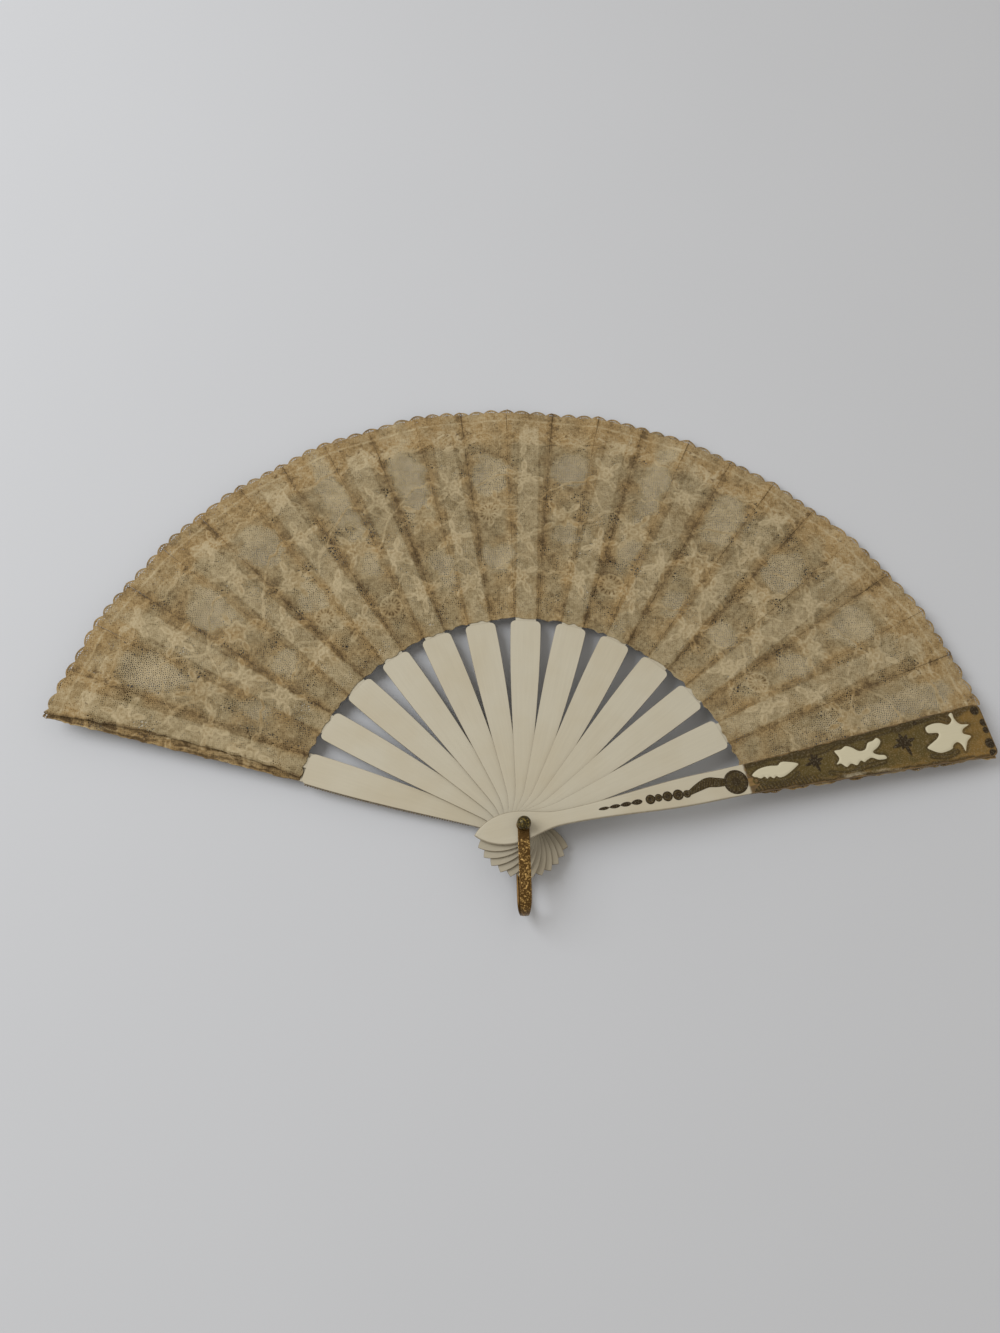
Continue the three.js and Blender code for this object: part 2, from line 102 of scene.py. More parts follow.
class FanSizes(bpy.types.PropertyGroup):
    """The fan's sizes"""

    step: length("Step", 12.525, "Degrees from one stick to the next when the fan is open")
    rear_slip: length("Rear guard slip", -0.25, "Degrees from the first stick on to the rear guard")
    front_step: length("Front guard step", 13.4, "Degrees from the last stick to the front guard")
    tilt: length("Rib tilt", 2.5, "Degrees that each rib and its panel lean, left edge up")
    shoulder: length("Shoulder radius", 103.0, "Millimetres from the rivet to the sticks' shoulders")
    bail_turn: length("Bail turn", 3.0, "Degrees that the bail lies to the right of straight down")
    leaf_radius: length("Leaf radius", 228.0, "Millimetres from the rivet to the leaf's rim")
    leaf_inner: length("Leaf inner radius", 103.4, "Millimetres from the rivet to the leaf's inner edge")
    lace_grid: length("Lace grid", 0.45, "Millimetres between the points that the lace is cut from")
    lace_thickness: length("Lace thickness", 0.24, "Millimetres through the lace")
    net_pitch: length("Net pitch", 1.9, "Millimetres from one hole of the net to the next")


class FanColours(bpy.types.PropertyGroup):
    """The fan's colours"""

    ivory: colour("Ivory", (0.540, 0.495, 0.385), "The sticks and guards")
    ivory_aged: colour("Aged ivory", (0.48, 0.41, 0.28), "Yellowed places on the sticks")
    lace_light: colour("Pale thread", (0.475, 0.385, 0.235), "Raised cords and pale flowers")
    lace_mid: colour("Lace", (0.262, 0.200, 0.104), "The body of the lace")
    # Soiled lace also gives the painted shade in the creases and in the worked holes.
    lace_dark: colour("Soiled lace", (0.100, 0.060, 0.022), "Creases and soiled places")
    lace_ochre: colour("Ochre border", (0.325, 0.217, 0.092), "The border of the leaf")
    # Grime is also painted shade: on the edges and sides between the sticks and guards, and over the sticks'
    # pointed ends.
    grime: colour("Grime", (0.17, 0.125, 0.07), "Old dirt on the edges of the sticks and guards")
    carving: colour("Carving", (0.60, 0.545, 0.385), "The raised leaves on the front guard")
    gilt: colour("Gilt ground", (0.102, 0.072, 0.021), "The olive brown ground on the front guard")
    gilt_worn: colour("Worn gold", (0.235, 0.138, 0.038), "Gold left at the tip and on the rear guard")
    gilt_brown: colour("Rubbed gold", (0.052, 0.030, 0.011), "Dark streaks on the rear guard")
    gilt_dark: colour("Dark gilt", (0.030, 0.019, 0.008), "Stars, blotches and recesses")
    brass: colour("Brass", (0.86, 0.55, 0.19), "The raised chasing on the bail")
    brass_deep: colour("Deep brass", (0.105, 0.054, 0.012), "The recesses of the chasing")
    brass_dull: colour("Dull brass", (0.36, 0.26, 0.06), "The ball head")
    brass_dark: colour("Dark brass", (0.035, 0.027, 0.011), "The ball's recesses and the washers")
    table: colour("Table", (0.594, 0.607, 0.640), "The floor")


def sizes():
    """The sizes as they are set in the scene."""
    return bpy.context.scene.fan_sizes


def colours():
    """The colours as they are set in the scene."""
    return bpy.context.scene.fan_colours


# Angles and levels, from the sizes and the construction


def stick_angle(index):
    """Sticks fan out evenly on both sides of the middle stick, which points along +Y."""
    return math.pi / 2 + (MIDDLE_STICK - index) * math.radians(sizes().step)


def rear_angle():
    """The rear guard's direction."""
    return stick_angle(1) + math.radians(sizes().rear_slip)


def front_angle():
    """The front guard's direction."""
    return stick_angle(STICK_COUNT) - math.radians(sizes().front_step)


def half_panel():
    """Each stick carries one panel and the next hangs free, so a panel is half a step wide."""
    return math.radians(sizes().step) / 4


def stick_body(index):
    """The name of a stick's body and construction node."""
    return f"stick_{index:02d}"


def rib_lean():
    """How steeply the ribs and their panels lean."""
    return math.tan(math.radians(sizes().tilt))


def middle_level(node):
    """The height half way up a construction node."""
    low, high = box_mm(node)
    return (low[2] + high[2]) / 2


# Noise, steps and bells on whole arrays

# Cells along each side of the noise's lattice, after which it repeats
LATTICE = 64
# How far inside a shape each place is where there is none
NOWHERE = -9.0


def smooth(low, high, x):
    """Rises from 0 at low to 1 at high, level at both ends."""
    t = np.clip((x - low) / (high - low), 0, 1)
    return t * t * (3 - 2 * t)


def bell(x, width):
    """1 where x is 0, and falling off to almost nothing within twice the width."""
    return np.exp(-((x / width) ** 2))


def highest(fields):
    """The largest value at each place."""
    return np.maximum.reduce(list(fields))


def soft_noise(x, y, scale, seed):
    """Value noise from -1 to 1: random numbers on a square lattice, blended smoothly between."""
    table = np.random.default_rng(seed).uniform(-1, 1, (LATTICE, LATTICE))
    u, v = np.asarray(x) / scale, np.asarray(y) / scale
    i, j = np.floor(u).astype(int), np.floor(v).astype(int)
    s, t = smooth(0, 1, u - i), smooth(0, 1, v - j)

    def at(a, b):
        return table[(i + a) % LATTICE, (j + b) % LATTICE]

    return (at(0, 0) * (1 - s) + at(1, 0) * s) * (1 - t) + (at(0, 1) * (1 - s) + at(1, 1) * s) * t


# Meshes

TINY = 1e-9
SLIVER = 1e-12
# The shortest sum of two sides' normals, which keeps sharp corners from being drawn in too far
SHARPEST = 0.6
# How far in a plate's flat face begins, in bevels
CAP_INSET = 1.35
# Steps of a rounded edge, and of a round solid
BEVEL_STEPS = 3
ROUND_STEPS = 48


def make_mesh(name, points, faces, attributes=None, flat=()):
    """A mesh from points in millimetres and lists of faces, one array for each number of corners.
    The faces in flat aren't smoothed."""
    mesh = bpy.data.meshes.new(name)
    smoothed = sum(len(f) for f in faces)
    faces = [np.asarray(f, int) for f in (*faces, *flat) if len(f)]
    loops = np.concatenate([f.ravel() for f in faces])
    counts = np.concatenate([np.full(len(f), f.shape[1]) for f in faces])
    starts = np.concatenate([[0], np.cumsum(counts)[:-1]])
    mesh.vertices.add(len(points))
    mesh.vertices.foreach_set("co", (np.asarray(points) * MM).astype(np.float32).ravel())
    mesh.loops.add(len(loops))
    mesh.loops.foreach_set("vertex_index", loops.astype(np.int32))
    mesh.polygons.add(len(counts))
    mesh.polygons.foreach_set("loop_start", starts.astype(np.int32))
    mesh.polygons.foreach_set("use_smooth", np.arange(len(counts)) < smoothed)
    for key, values in (attributes or {}).items():
        layer = mesh.attributes.new(key, "FLOAT", "POINT")
        layer.data.foreach_set("value", np.asarray(values, np.float32))
    mesh.update(calc_edges=True)
    mesh.validate()
    piece = bpy.data.objects.new(name, mesh)
    bpy.context.collection.objects.link(piece)
    return piece


def turned(points, angle, level=0.0):
    """Turns points about the rivet's axis and lifts them."""
    c, s = math.cos(angle), math.sin(angle)
    x, y, z = np.asarray(points, float).T
    return np.stack([c * x - s * y, s * x + c * y, z + level], 1)


def bezier(a, b, c, d, count):
    """A cubic curve from a to d pulled towards b and c, without its last point."""
    t = np.linspace(0, 1, count, endpoint=False)[:, None]
    a, b, c, d = (np.array(p, float) for p in (a, b, c, d))
    return (1 - t) ** 3 * a + 3 * (1 - t) ** 2 * t * b + 3 * (1 - t) * t * t * c + t**3 * d


def inset(loop, amount):
    """Moves each point of a counter-clockwise loop inwards along its mean normal."""
    side = np.roll(loop, -1, 0) - loop
    normal = np.stack([-side[:, 1], side[:, 0]], 1)
    normal = normal / np.maximum(np.linalg.norm(normal, axis=1, keepdims=True), TINY)
    mean = np.roll(normal, 1, 0) + normal
    size = np.maximum(np.linalg.norm(mean, axis=1, keepdims=True), SHARPEST)
    return loop + mean / size * amount


def ring_faces(rings, count):
    """Quads between rings of count points each, stacked one after another."""
    i = np.arange(count)
    j = (i + 1) % count
    faces = [
        np.stack([r * count + i, r * count + j, (r + 1) * count + j, (r + 1) * count + i], 1)
        for r in range(rings - 1)
    ]
    return np.concatenate(faces)


def slab(outline, low, high, bevel, hole=None, steps=BEVEL_STEPS):
    """A plate with rounded edges: the outline is carried up its side, drawn in along a quarter
    circle at both edges, and the two flat faces are filled. The rounding may change along the
    outline. Gives points and faces."""
    a = np.linspace(0, math.pi / 2, steps + 1)
    count = len(outline)
    hole = np.zeros((0, 2)) if hole is None else hole
    size = len(hole)
    bevel = np.broadcast_to(np.asarray(bevel, float), (count,))
    profile = [(bevel * CAP_INSET, low + 0 * bevel)]
    profile += [(bevel * (1 - math.sin(t)), low + bevel * (1 - math.cos(t))) for t in a]
    profile += [(bevel * (1 - math.cos(t)), high - bevel * (1 - math.sin(t))) for t in a]
    profile += [(bevel * CAP_INSET, high + 0 * bevel)]
    rings = [np.column_stack([inset(outline, amount[:, None]), z]) for amount, z in profile]
    rings += [np.column_stack([hole, np.full(size, z)]) for z in (low, high)]
    points = np.concatenate(rings)
    base = len(profile) * count
    i = np.arange(size)
    j = np.roll(i, -1)
    walls = base + np.stack([j, i, size + i, size + j], 1)
    quads = np.concatenate([ring_faces(len(profile), count), walls])
    caps = []
    for rim, bore, upward in ((0, base, False), (base - count, base + size, True)):
        edges = [np.arange(rim, rim + count), np.arange(bore, bore + size)]
        loops = [[(x, y, 0.0) for x, y, _ in points[edge]] for edge in edges if len(edge)]
        tris = np.concatenate(edges)[np.array(tessellate_polygon(loops))]
        p = points[tris]
        turn = np.cross(p[:, 1] - p[:, 0], p[:, 2] - p[:, 0])[:, 2]
        flipped = (turn > 0) != upward
        tris[flipped] = tris[flipped, ::-1]
        caps.append(tris[np.abs(turn) > SLIVER])
    return points, quads, np.concatenate(caps)


def circle(radius, count):
    """Points evenly round a circle."""
    a = np.linspace(0, 2 * math.pi, count, endpoint=False)
    return np.stack([radius * np.cos(a), radius * np.sin(a)], 1)


def joined(*parts):
    """Puts several sets of points, quads and triangles into one."""
    points, quads, tris, base = [], [], [], 0
    for p, q, t in parts:
        points.append(p)
        quads.append(np.asarray(q, int).reshape(-1, 4) + base)
        tris.append(np.asarray(t, int).reshape(-1, 3) + base)
        base += len(p)
    return np.concatenate(points), np.concatenate(quads), np.concatenate(tris)


def lathe(profile, count=ROUND_STEPS):
    """A profile of radius and height turned about the rivet's axis, closed at both poles."""
    profile = np.asarray(profile, float)
    a = np.linspace(0, 2 * math.pi, count, endpoint=False)
    inner = profile[1:-1]
    rings = np.stack([
        np.outer(inner[:, 0], np.cos(a)),
        np.outer(inner[:, 0], np.sin(a)),
        np.repeat(inner[:, 1:2], count, 1),
    ], -1).reshape(-1, 3)
    poles = np.array([[0, 0, profile[0, 1]], [0, 0, profile[-1, 1]]])
    points = np.concatenate([rings, poles])
    quads = ring_faces(len(inner), count)
    i = np.arange(count)
    j = (i + 1) % count
    low, high = len(rings), len(rings) + 1
    last = (len(inner) - 1) * count
    tris = np.concatenate([
        np.stack([np.full(count, low), j, i], 1),
        np.stack([last + i, last + j, np.full(count, high)], 1),
    ])
    return points, quads, tris


def washer_profile(inner, outer, low, high, bevel):
    """The closed section of a ring with rounded outer edges."""
    a = np.linspace(0, math.pi / 2, BEVEL_STEPS + 1)
    lower = [(outer - bevel + bevel * math.sin(t), low + bevel - bevel * math.cos(t)) for t in a]
    upper = [(outer - bevel + bevel * math.cos(t), high - bevel + bevel * math.sin(t)) for t in a]
    return [(inner, low), *lower, *upper, (inner, high)]


def ring_solid(section, count=ROUND_STEPS):
    """A closed section carried once round the rivet's axis."""
    section = np.asarray(section, float)
    a = np.linspace(0, 2 * math.pi, count, endpoint=False)
    m = len(section)
    points = np.stack([
        np.outer(np.cos(a), section[:, 0]),
        np.outer(np.sin(a), section[:, 0]),
        np.repeat(section[None, :, 1], count, 0),
    ], -1).reshape(-1, 3)
    i, k = np.meshgrid(np.arange(count), np.arange(m), indexing="ij")
    i2, k2 = (i + 1) % count, (k + 1) % m
    quads = np.stack([i * m + k, i2 * m + k, i2 * m + k2, i * m + k2], -1).reshape(-1, 4)
    return points, quads, np.zeros((0, 3), int)


# The corners of each case of a grid cell whose corners are partly inside: 0 to 3 are the
# cell's corners in turn, 4 to 7 the cuts on the sides that follow them.
CELL_CASES = {
    1: (0, 4, 7), 2: (1, 5, 4), 3: (0, 1, 5, 7), 4: (2, 6, 5), 5: (0, 4, 5, 2, 6, 7),
    6: (1, 2, 6, 4), 7: (0, 1, 2, 6, 7), 8: (3, 7, 6), 9: (0, 4, 6, 3), 10: (1, 5, 6, 3, 7, 4),
    11: (0, 1, 5, 6, 3), 12: (2, 3, 7, 5), 13: (0, 4, 5, 2, 3), 14: (1, 2, 3, 7, 4), 15: (0, 1, 2, 3),
}


# Cuts stay this share of a cell's side away from the grid's points
CUT_MARGIN = 0.14


def cut_cells(inside, corners):
    """The faces of all cells, in groups with the same number of corners. corners holds each
    cell's four corners and the cuts on its four sides."""
    case = inside[:-1, :-1] * 1 + inside[1:, :-1] * 2 + inside[1:, 1:] * 4 + inside[:-1, 1:] * 8
    groups = {}
    for key, order in CELL_CASES.items():
        found = corners[case == key][:, list(order)]
        if len(found):
            groups.setdefault(len(order), []).append(found)
    return [np.concatenate(group) for group in groups.values()]


def open_sides(faces, total):
    """The sides that belong to one face only, as pairs of points. total is the points' number."""
    sides = np.concatenate([np.stack([f, np.roll(f, -1, 1)], -1).reshape(-1, 2) for f in faces])
    there = sides[:, 0] * total + sides[:, 1]
    back = sides[:, 1] * total + sides[:, 0]
    return sides[~np.isin(there, back)]


def cut_sheet(under, over, field, extras):
    """A closed thin sheet over a grid, kept where field is positive. under and over hold the
    grid's points on its two faces. Each cell with a change of sign is cut along the straight
    line between the two places where the field is zero on its sides, and every open edge gets
    a wall. extras are values at the grid's points, carried to the new ones."""
    nu, nv = field.shape
    values = field.ravel()
    ids = np.arange(nu * nv).reshape(nu, nv)
    total = nu * nv
    cuts = []
    numbers = []
    for a, b in ((ids[:-1, :], ids[1:, :]), (ids[:, :-1], ids[:, 1:])):
        fa, fb = values[a.ravel()], values[b.ravel()]
        changed = (fa > 0) != (fb > 0)
        share = np.where(changed, fa / np.where(changed, fa - fb, 1), 0.5)
        share = np.clip(share, CUT_MARGIN, 1 - CUT_MARGIN)[changed, None]
        cuts.append((a.ravel()[changed], b.ravel()[changed], share))
        number = np.full(len(changed), -1)
        number[changed] = total + np.arange(changed.sum())
        numbers.append(number.reshape(a.shape))
        total += changed.sum()

    def carried(grid):
        flat = grid.reshape(nu * nv, -1)
        return np.concatenate([flat, *(flat[a] * (1 - share) + flat[b] * share for a, b, share in cuts)])

    across, along = numbers
    corners = np.stack([
        ids[:-1, :-1], ids[1:, :-1], ids[1:, 1:], ids[:-1, 1:],
        across[:, :-1], along[1:, :], across[:, 1:], along[:-1, :],
    ], -1)
    top = cut_cells(field > 0, corners)
    sides = open_sides(top, total)
    used = np.unique(np.concatenate([f.ravel() for f in top]))
    renumber = np.full(total, -1)
    renumber[used] = np.arange(len(used))
    top = [renumber[f] for f in top]
    bottom = [f[:, ::-1] + len(used) for f in top]
    a, b = renumber[sides].T
    walls = np.stack([b, a, a + len(used), b + len(used)], 1)
    points = np.concatenate([carried(over)[used], carried(under)[used]])
    layers = {key: np.tile(carried(grid)[used, 0], 2) for key, grid in extras.items()}
    faces = [*top, *bottom, walls]
    if np.cross(over[1, 0] - over[0, 0], over[0, 1] - over[0, 0])[2] < 0:
        faces = [f[:, ::-1] for f in faces]
    return points, faces, layers


# Shader nodes


class Wire:
    """A socket that can be used in a sum: each operator adds the Math node that it stands for."""

    def __init__(self, shader, socket):
        self.shader = shader
        self.socket = socket

    def _math(self, operation, *values):
        return self.shader.add("ShaderNodeMath", {"operation": operation}, *values)

    def __add__(self, other):
        return self._math("ADD", self, other)

    def __radd__(self, other):
        return self._math("ADD", other, self)

    def __sub__(self, other):
        return self._math("SUBTRACT", self, other)

    def __rsub__(self, other):
        return self._math("SUBTRACT", other, self)

    def __mul__(self, other):
        return self._math("MULTIPLY", self, other)

    def __rmul__(self, other):
        return self._math("MULTIPLY", other, self)

    def clamp(self):
        """Kept between 0 and 1."""
        return self._math("MAXIMUM", self._math("MINIMUM", self, 1.0), 0.0)


class Shader:
    """A material's node tree, filled by one method."""

    def __init__(self, name):
        self.material = bpy.data.materials.new(name)
        self.material.use_nodes = True
        self.tree = self.material.node_tree
        self.principled = self.tree.nodes["Principled BSDF"]

    def add(self, kind, settings, *values, output=0, **named):
        """Adds a node, sets its settings, then its sockets from numbers, colours or wires."""
        node = self.tree.nodes.new(kind)
        for key, value in settings.items():
            if key == "stops":
                ramp = node.color_ramp.elements
                while len(ramp) < len(value):
                    ramp.new(0.5)
                for stop, (place, shade) in zip(ramp, value):
                    stop.position = place
                    stop.color = (*(shade if hasattr(shade, "__len__") else (shade,) * 3), 1.0)
            else:
                setattr(node, key, value)
        for index, value in enumerate(values):
            self.put(node.inputs[index], value)
        for key, value in named.items():
            self.put(node.inputs[key.replace("_", " ")], value)
        return Wire(self, node.outputs[output])

    def put(self, socket, value):
        """Links a wire to a socket, or sets the socket to a number or colour."""
        if isinstance(value, Wire):
            self.tree.links.new(value.socket, socket)
        elif hasattr(value, "__len__") and len(value) == 3 and socket.type == "RGBA":
            socket.default_value = (*value, 1.0)
        else:
            socket.default_value = value

    def place(self, scale=(1.0, 1.0, 1.0), turn=0.0):
        """Object coordinates in millimetres, turned back about +Z and then scaled."""
        coords = self.add("ShaderNodeTexCoord", {}, output="Object")
        size = tuple(MM / s for s in scale)
        settings = {"vector_type": "TEXTURE"}
        return self.add("ShaderNodeMapping", settings, coords, (0, 0, 0), (0, 0, turn), size)

    def noise(self, vector, scale, detail=3.0, rough=0.55):
        """Cloudy noise from 0 to 1."""
        return self.add("ShaderNodeTexNoise", {}, Vector=vector, Scale=scale, Detail=detail, Roughness=rough)

    def attribute(self, name):
        """A value that the mesh stores at each point."""
        return self.add("ShaderNodeAttribute", {"attribute_name": name}, output="Fac")

    def mix(self, share, a, b, blend="MIX"):
        """Blends two colours by a share."""
        node = self.tree.nodes.new("ShaderNodeMix")
        node.data_type = "RGBA"
        node.blend_type = blend
        self.put(node.inputs[0], share)
        self.put(node.inputs[6], a)
        self.put(node.inputs[7], b)
        return Wire(self, node.outputs[2])

    def ramp(self, value, stops):
        """Colours or greys for a value, with a place for each."""
        return self.add("ShaderNodeValToRGB", {"stops": stops}, value)

    def bump(self, height, strength, distance):
        """A rough surface, for the Normal socket."""
        return self.add("ShaderNodeBump", {}, Strength=strength, Distance=distance, Height=height)

    def surface(self, **sockets):
        """Sets the sockets of the surface and gives the finished material."""
        for key, value in sockets.items():
            self.put(self.principled.inputs[key.replace("_", " ")], value)
        return self.material


def paint(piece, material, slot, body, *nodes):
    """Gives a piece its finish, its body and the construction nodes that it stands for."""
    piece.data.materials.clear()
    piece.data.materials.append(material)
    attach(piece, body)
    if nodes:
        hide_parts(*nodes)
    return piece


# Finishes

# How much painted shade darkens the sticks' pointed ends past the rivet
HEAD_SHADE = 0.3
# How close each noise lies along a stick, across it and through it
STREAKS = (0.05, 1.2, 1.0)
RUBBING = (0.12, 0.8, 1.0)
DIRT = (0.8, 0.02, 2.2)
# Cells of the net to a millimetre, and how sharp its threads' edges are
NET_CELLS = 1.05
THREAD_EDGE = 12.0


def ivory_finish(name, angle, yellowing, gilded=False, pale=None):
    """Cream bone: faint streaks along the stick, cloudy yellowing, and a satin face. A gilded
    guard turns to worn gold with dark streaks from its shoulder outwards."""
    c = colours()
    s = Shader(name)
    streaks = s.noise(s.place(STREAKS, angle), 1.0, 4.0)
    clouds = s.noise(s.place(), 0.035, 3.0)
    specks = s.noise(s.place(), 1.1, 2.0)
    aged = ((clouds - 0.42) * 1.6 + yellowing).clamp()
    cream = s.mix(aged, pale or c.ivory, c.ivory_aged)
    shade = s.mix(1.0, cream, s.ramp(streaks, [(0.3, 0.95), (0.7, 1.0)]), "MULTIPLY")
    along = s.add("ShaderNodeSeparateXYZ", {}, s.place(turn=angle))
    if gilded:
        rubbed = s.noise(s.place(RUBBING, angle), 0.55, 4.0, 0.65)
        gold = s.mix(((rubbed - 0.36) * 3.6).clamp(), c.gilt_brown, c.gilt_worn)
        outer = (along + rubbed * 1.5 - (sizes().shoulder + 1.6)).clamp()
        shade = s.mix(outer, shade, gold)
    else:
        # The pointed end past the rivet is darkened towards the grime colour: painted shade.
        shade = s.mix((along * -0.25 - 1.2).clamp() * HEAD_SHADE, shade, c.grime)
    dots = s.noise(s.place(DIRT, angle), 0.75, 2.0)
    return s.surface(
        # The grime attribute, broken into dots, darkens edges and sides towards the grime colour: dirt and
        # painted shade between the sticks and guards.
        Base_Color=s.mix((s.attribute("grime") * (dots * 1.3 + 0.3)).clamp(), shade, c.grime),
        Roughness=0.36 + 0.14 * specks + 0.06 * streaks,
        Coat_Weight=0.12,
        Coat_Roughness=0.3,
        Normal=s.bump(streaks * 0.6 + specks * 0.2, 0.12, 0.0002),
    )


def lace_finish():
    """Cotton lace: threads run round uneven cells about a millimetre wide. The cover attribute
    is half a thread's width, so the cells are open where it is small and closed where it is
    large. Tone, warmth and soil give the colour, broken up by mottling and brown specks."""
    c = colours()
    s = Shader("lace_thread")
    tone, warm, cover, soil = (s.attribute(key) for key in ("tone", "warmth", "cover", "soil"))
    plane = s.place()
    settings = {"feature": "DISTANCE_TO_EDGE", "voronoi_dimensions": "2D"}
    cell = s.add("ShaderNodeTexVoronoi", settings, Vector=plane, Scale=NET_CELLS, Randomness=0.75)
    mottle = s.noise(plane, 0.85, 3.0, 0.6)
    thread = s.noise(plane, 2.8, 2.0)
    cloud = s.noise(plane, 0.06, 3.0)
    speck = s.noise(plane, 0.38, 4.0, 0.62)
    level = tone + (mottle - 0.5) * 0.95 + (thread - 0.5) * 0.35 + (cloud - 0.5) * 0.25 - cell * 0.35
    level = level.clamp()
    deep = tuple(v * 0.9 for v in c.lace_dark)
    plain = s.ramp(level, [(0.0, c.lace_dark), (0.42, c.lace_mid), (1.0, c.lace_light)])
    ochre = s.ramp(level, [(0.0, deep), (0.52, c.lace_ochre), (1.0, c.lace_light)])
    cloth = s.mix(warm.clamp(), plain, ochre)
    spots = ((speck + soil * 0.14 - 0.66) * 11.0).clamp() * 0.75
    return s.surface(
        Base_Color=s.mix(spots, cloth, c.lace_dark),
        Roughness=0.86 + 0.1 * thread,
        Alpha=((cover - cell) * THREAD_EDGE + 0.5).clamp(),
        Sheen_Weight=0.15,
        Sheen_Roughness=0.5,
        Specular_IOR_Level=0.25,
        Normal=s.bump(thread * 0.5 + mottle - cell, 0.5, 0.0003),
    )


def gilt_finish(name, ground):
    """Gold paint worn to brown: cloudy, ochre where the gold attribute is high, near black
    where the dark attribute is high, and cream bone where the bare attribute is high."""
    c = colours()
    s = Shader(name)
    cloud = s.noise(s.place(), 0.22, 4.0, 0.6)
    grain = s.noise(s.place(), 1.6, 3.0)
    gold = ((cloud - 0.5) * 1.5 + (grain - 0.5) * 0.8 + s.attribute("gold")).clamp()
    dark = ((grain - 0.5) * 0.5 + s.attribute("dark") * 1.3).clamp()
    shade = s.mix(gold, ground, c.gilt_worn)
    shade = s.mix(dark, shade, c.gilt_dark)
    shade = s.mix(((grain - 0.5) + s.attribute("bare") * 1.2).clamp(), shade, c.ivory_aged)
    return s.surface(
        Base_Color=shade,
        Metallic=0.04 + 0.1 * grain,
        Roughness=0.55 + 0.3 * cloud,
        Specular_IOR_Level=0.16,
        Normal=s.bump(cloud + grain * 0.5, 0.35, 0.0004),
    )


def brass_finish(name, bright, dull):
    """Aged brass: bright where the worn attribute is high and dull in the recesses."""
    s = Shader(name)
    grain = s.noise(s.place(), 1.25, 3.0, 0.6)
    cloud = s.noise(s.place(), 0.16, 2.0)
    worn = ((grain - 0.57) * 4.2 + (cloud - 0.5) * 1.0 + s.attribute("worn") * 0.62).clamp()
    return s.surface(
        Base_Color=s.mix(worn, dull, bright),
        Metallic=0.75,
        Roughness=0.24 + 0.22 * grain,
        Normal=s.bump(grain, 0.35, 0.0003),
    )


# Outlines of sticks and guards, with the rivet at the origin and the stick along +X

# All in millimetres: the almond head, then the flanks and corners of sticks and guards
HEAD_REACH = 22.0
HEAD_HALF_WIDTH = 7.2
NECK_RADIUS = 18.0
STICK_NECK = 3.3
STICK_SHOULDER = 7.35
SHOULDER_CORNER = 2.4
GUARD_NECK = 3.4
GUARD_WIDEST = 86.0
GUARD_SHOULDER = 6.9
GUARD_TIP = 13.2
GUARD_RADIUS = 224.5
RIVET_HOLE = 1.5
# Points along each part of an outline
HOLE_STEPS = 24
HEAD_STEPS = 14
CORNER_STEPS = 6
STICK_STEPS = 22
GUARD_STEPS = 90
STICK_THICKNESS = 0.75
STICK_BEVEL = 0.16
RIB_THICKNESS = 0.3
RIB_BEVEL = 0.06
RIB = ((99.0, -5.0), (217.0, -5.4), (217.0, 5.4), (99.0, 5.0))
# The first rib is cut away beside the rear guard
FIRST_RIB = ((99.0, -5.0), (217.0, -5.4), (217.0, 5.4), (172.0, 4.6), (99.0, -0.1))
GUARD_THICKNESS = {"rear_guard": 1.6, "front_guard": 2.0}
GUARD_BEVEL = {"rear_guard": 0.5, "front_guard": 0.8}
LEAF_BEVEL = 0.3
GUARD_BEVEL_STEPS = 5
# Dirt and painted shade on the edges: how fast they set in, where they start and how much there is of them
GRIME_AND_SHADE_RISE = 0.2
STICK_GRIME_AND_SHADE = (-0.07, 0.85)
GUARD_GRIME_AND_SHADE = (0.02, 0.6)
HEAD_GRIME_AND_SHADE = 0.6
# Beads along the rear guard's edge: where they run, and how far apart, deep and far out they are
MILL_START = 24.0
MILL_END = 101.0
MILL_PITCH = 1.2
MILL_DEPTH = 0.9
MILL_SHOWN = 0.58
MILL_GROWTH = 30.0
MILL_DROP = 0.6
BEAD_STEPS = 10
# How much thinner each guard is over the leaf
FRONT_LEAF_SEAT = 0.75
REAR_LEAF_SEAT = 0.2


def plate_outline(neck, half_width, end, corner, steps):
    """The outline of a stick or guard: an almond head of two curves on either side, flanks as
    wide as half_width says, and rounded corners at the end."""
    reach, full = HEAD_REACH, HEAD_HALF_WIDTH
    widest = (-0.25 * reach, -full)
    point = bezier((-reach, 0), (-0.85 * reach, -0.6 * full), (-0.55 * reach, -full), widest, HEAD_STEPS)
    gorge = bezier(widest, (0.15 * reach, -full), (0.4 * reach, -neck), (NECK_RADIUS, -neck), HEAD_STEPS)
    lower = np.concatenate([point, gorge])
    upper = lower[1:][::-1] * (1, -1)
    start = end - corner
    x = np.linspace(NECK_RADIUS, start, steps)
    a = np.linspace(0, math.pi / 2, CORNER_STEPS + 1)[1:]
    arc = np.stack([start + corner * np.sin(a), half_width(start) - corner + corner * np.cos(a)], 1)
    side = np.concatenate([np.stack([x, half_width(x)], 1), arc])
    return np.concatenate([lower, side * (1, -1), side[::-1], upper])


def stick_half_width(radius):
    """The flank swells as a quarter sine, slowly at first."""
    t = np.clip((radius - NECK_RADIUS) / (sizes().shoulder - SHOULDER_CORNER - NECK_RADIUS), 0, 1)
    return STICK_NECK + (STICK_SHOULDER - STICK_NECK) * np.sin(math.pi / 2 * t**1.15)


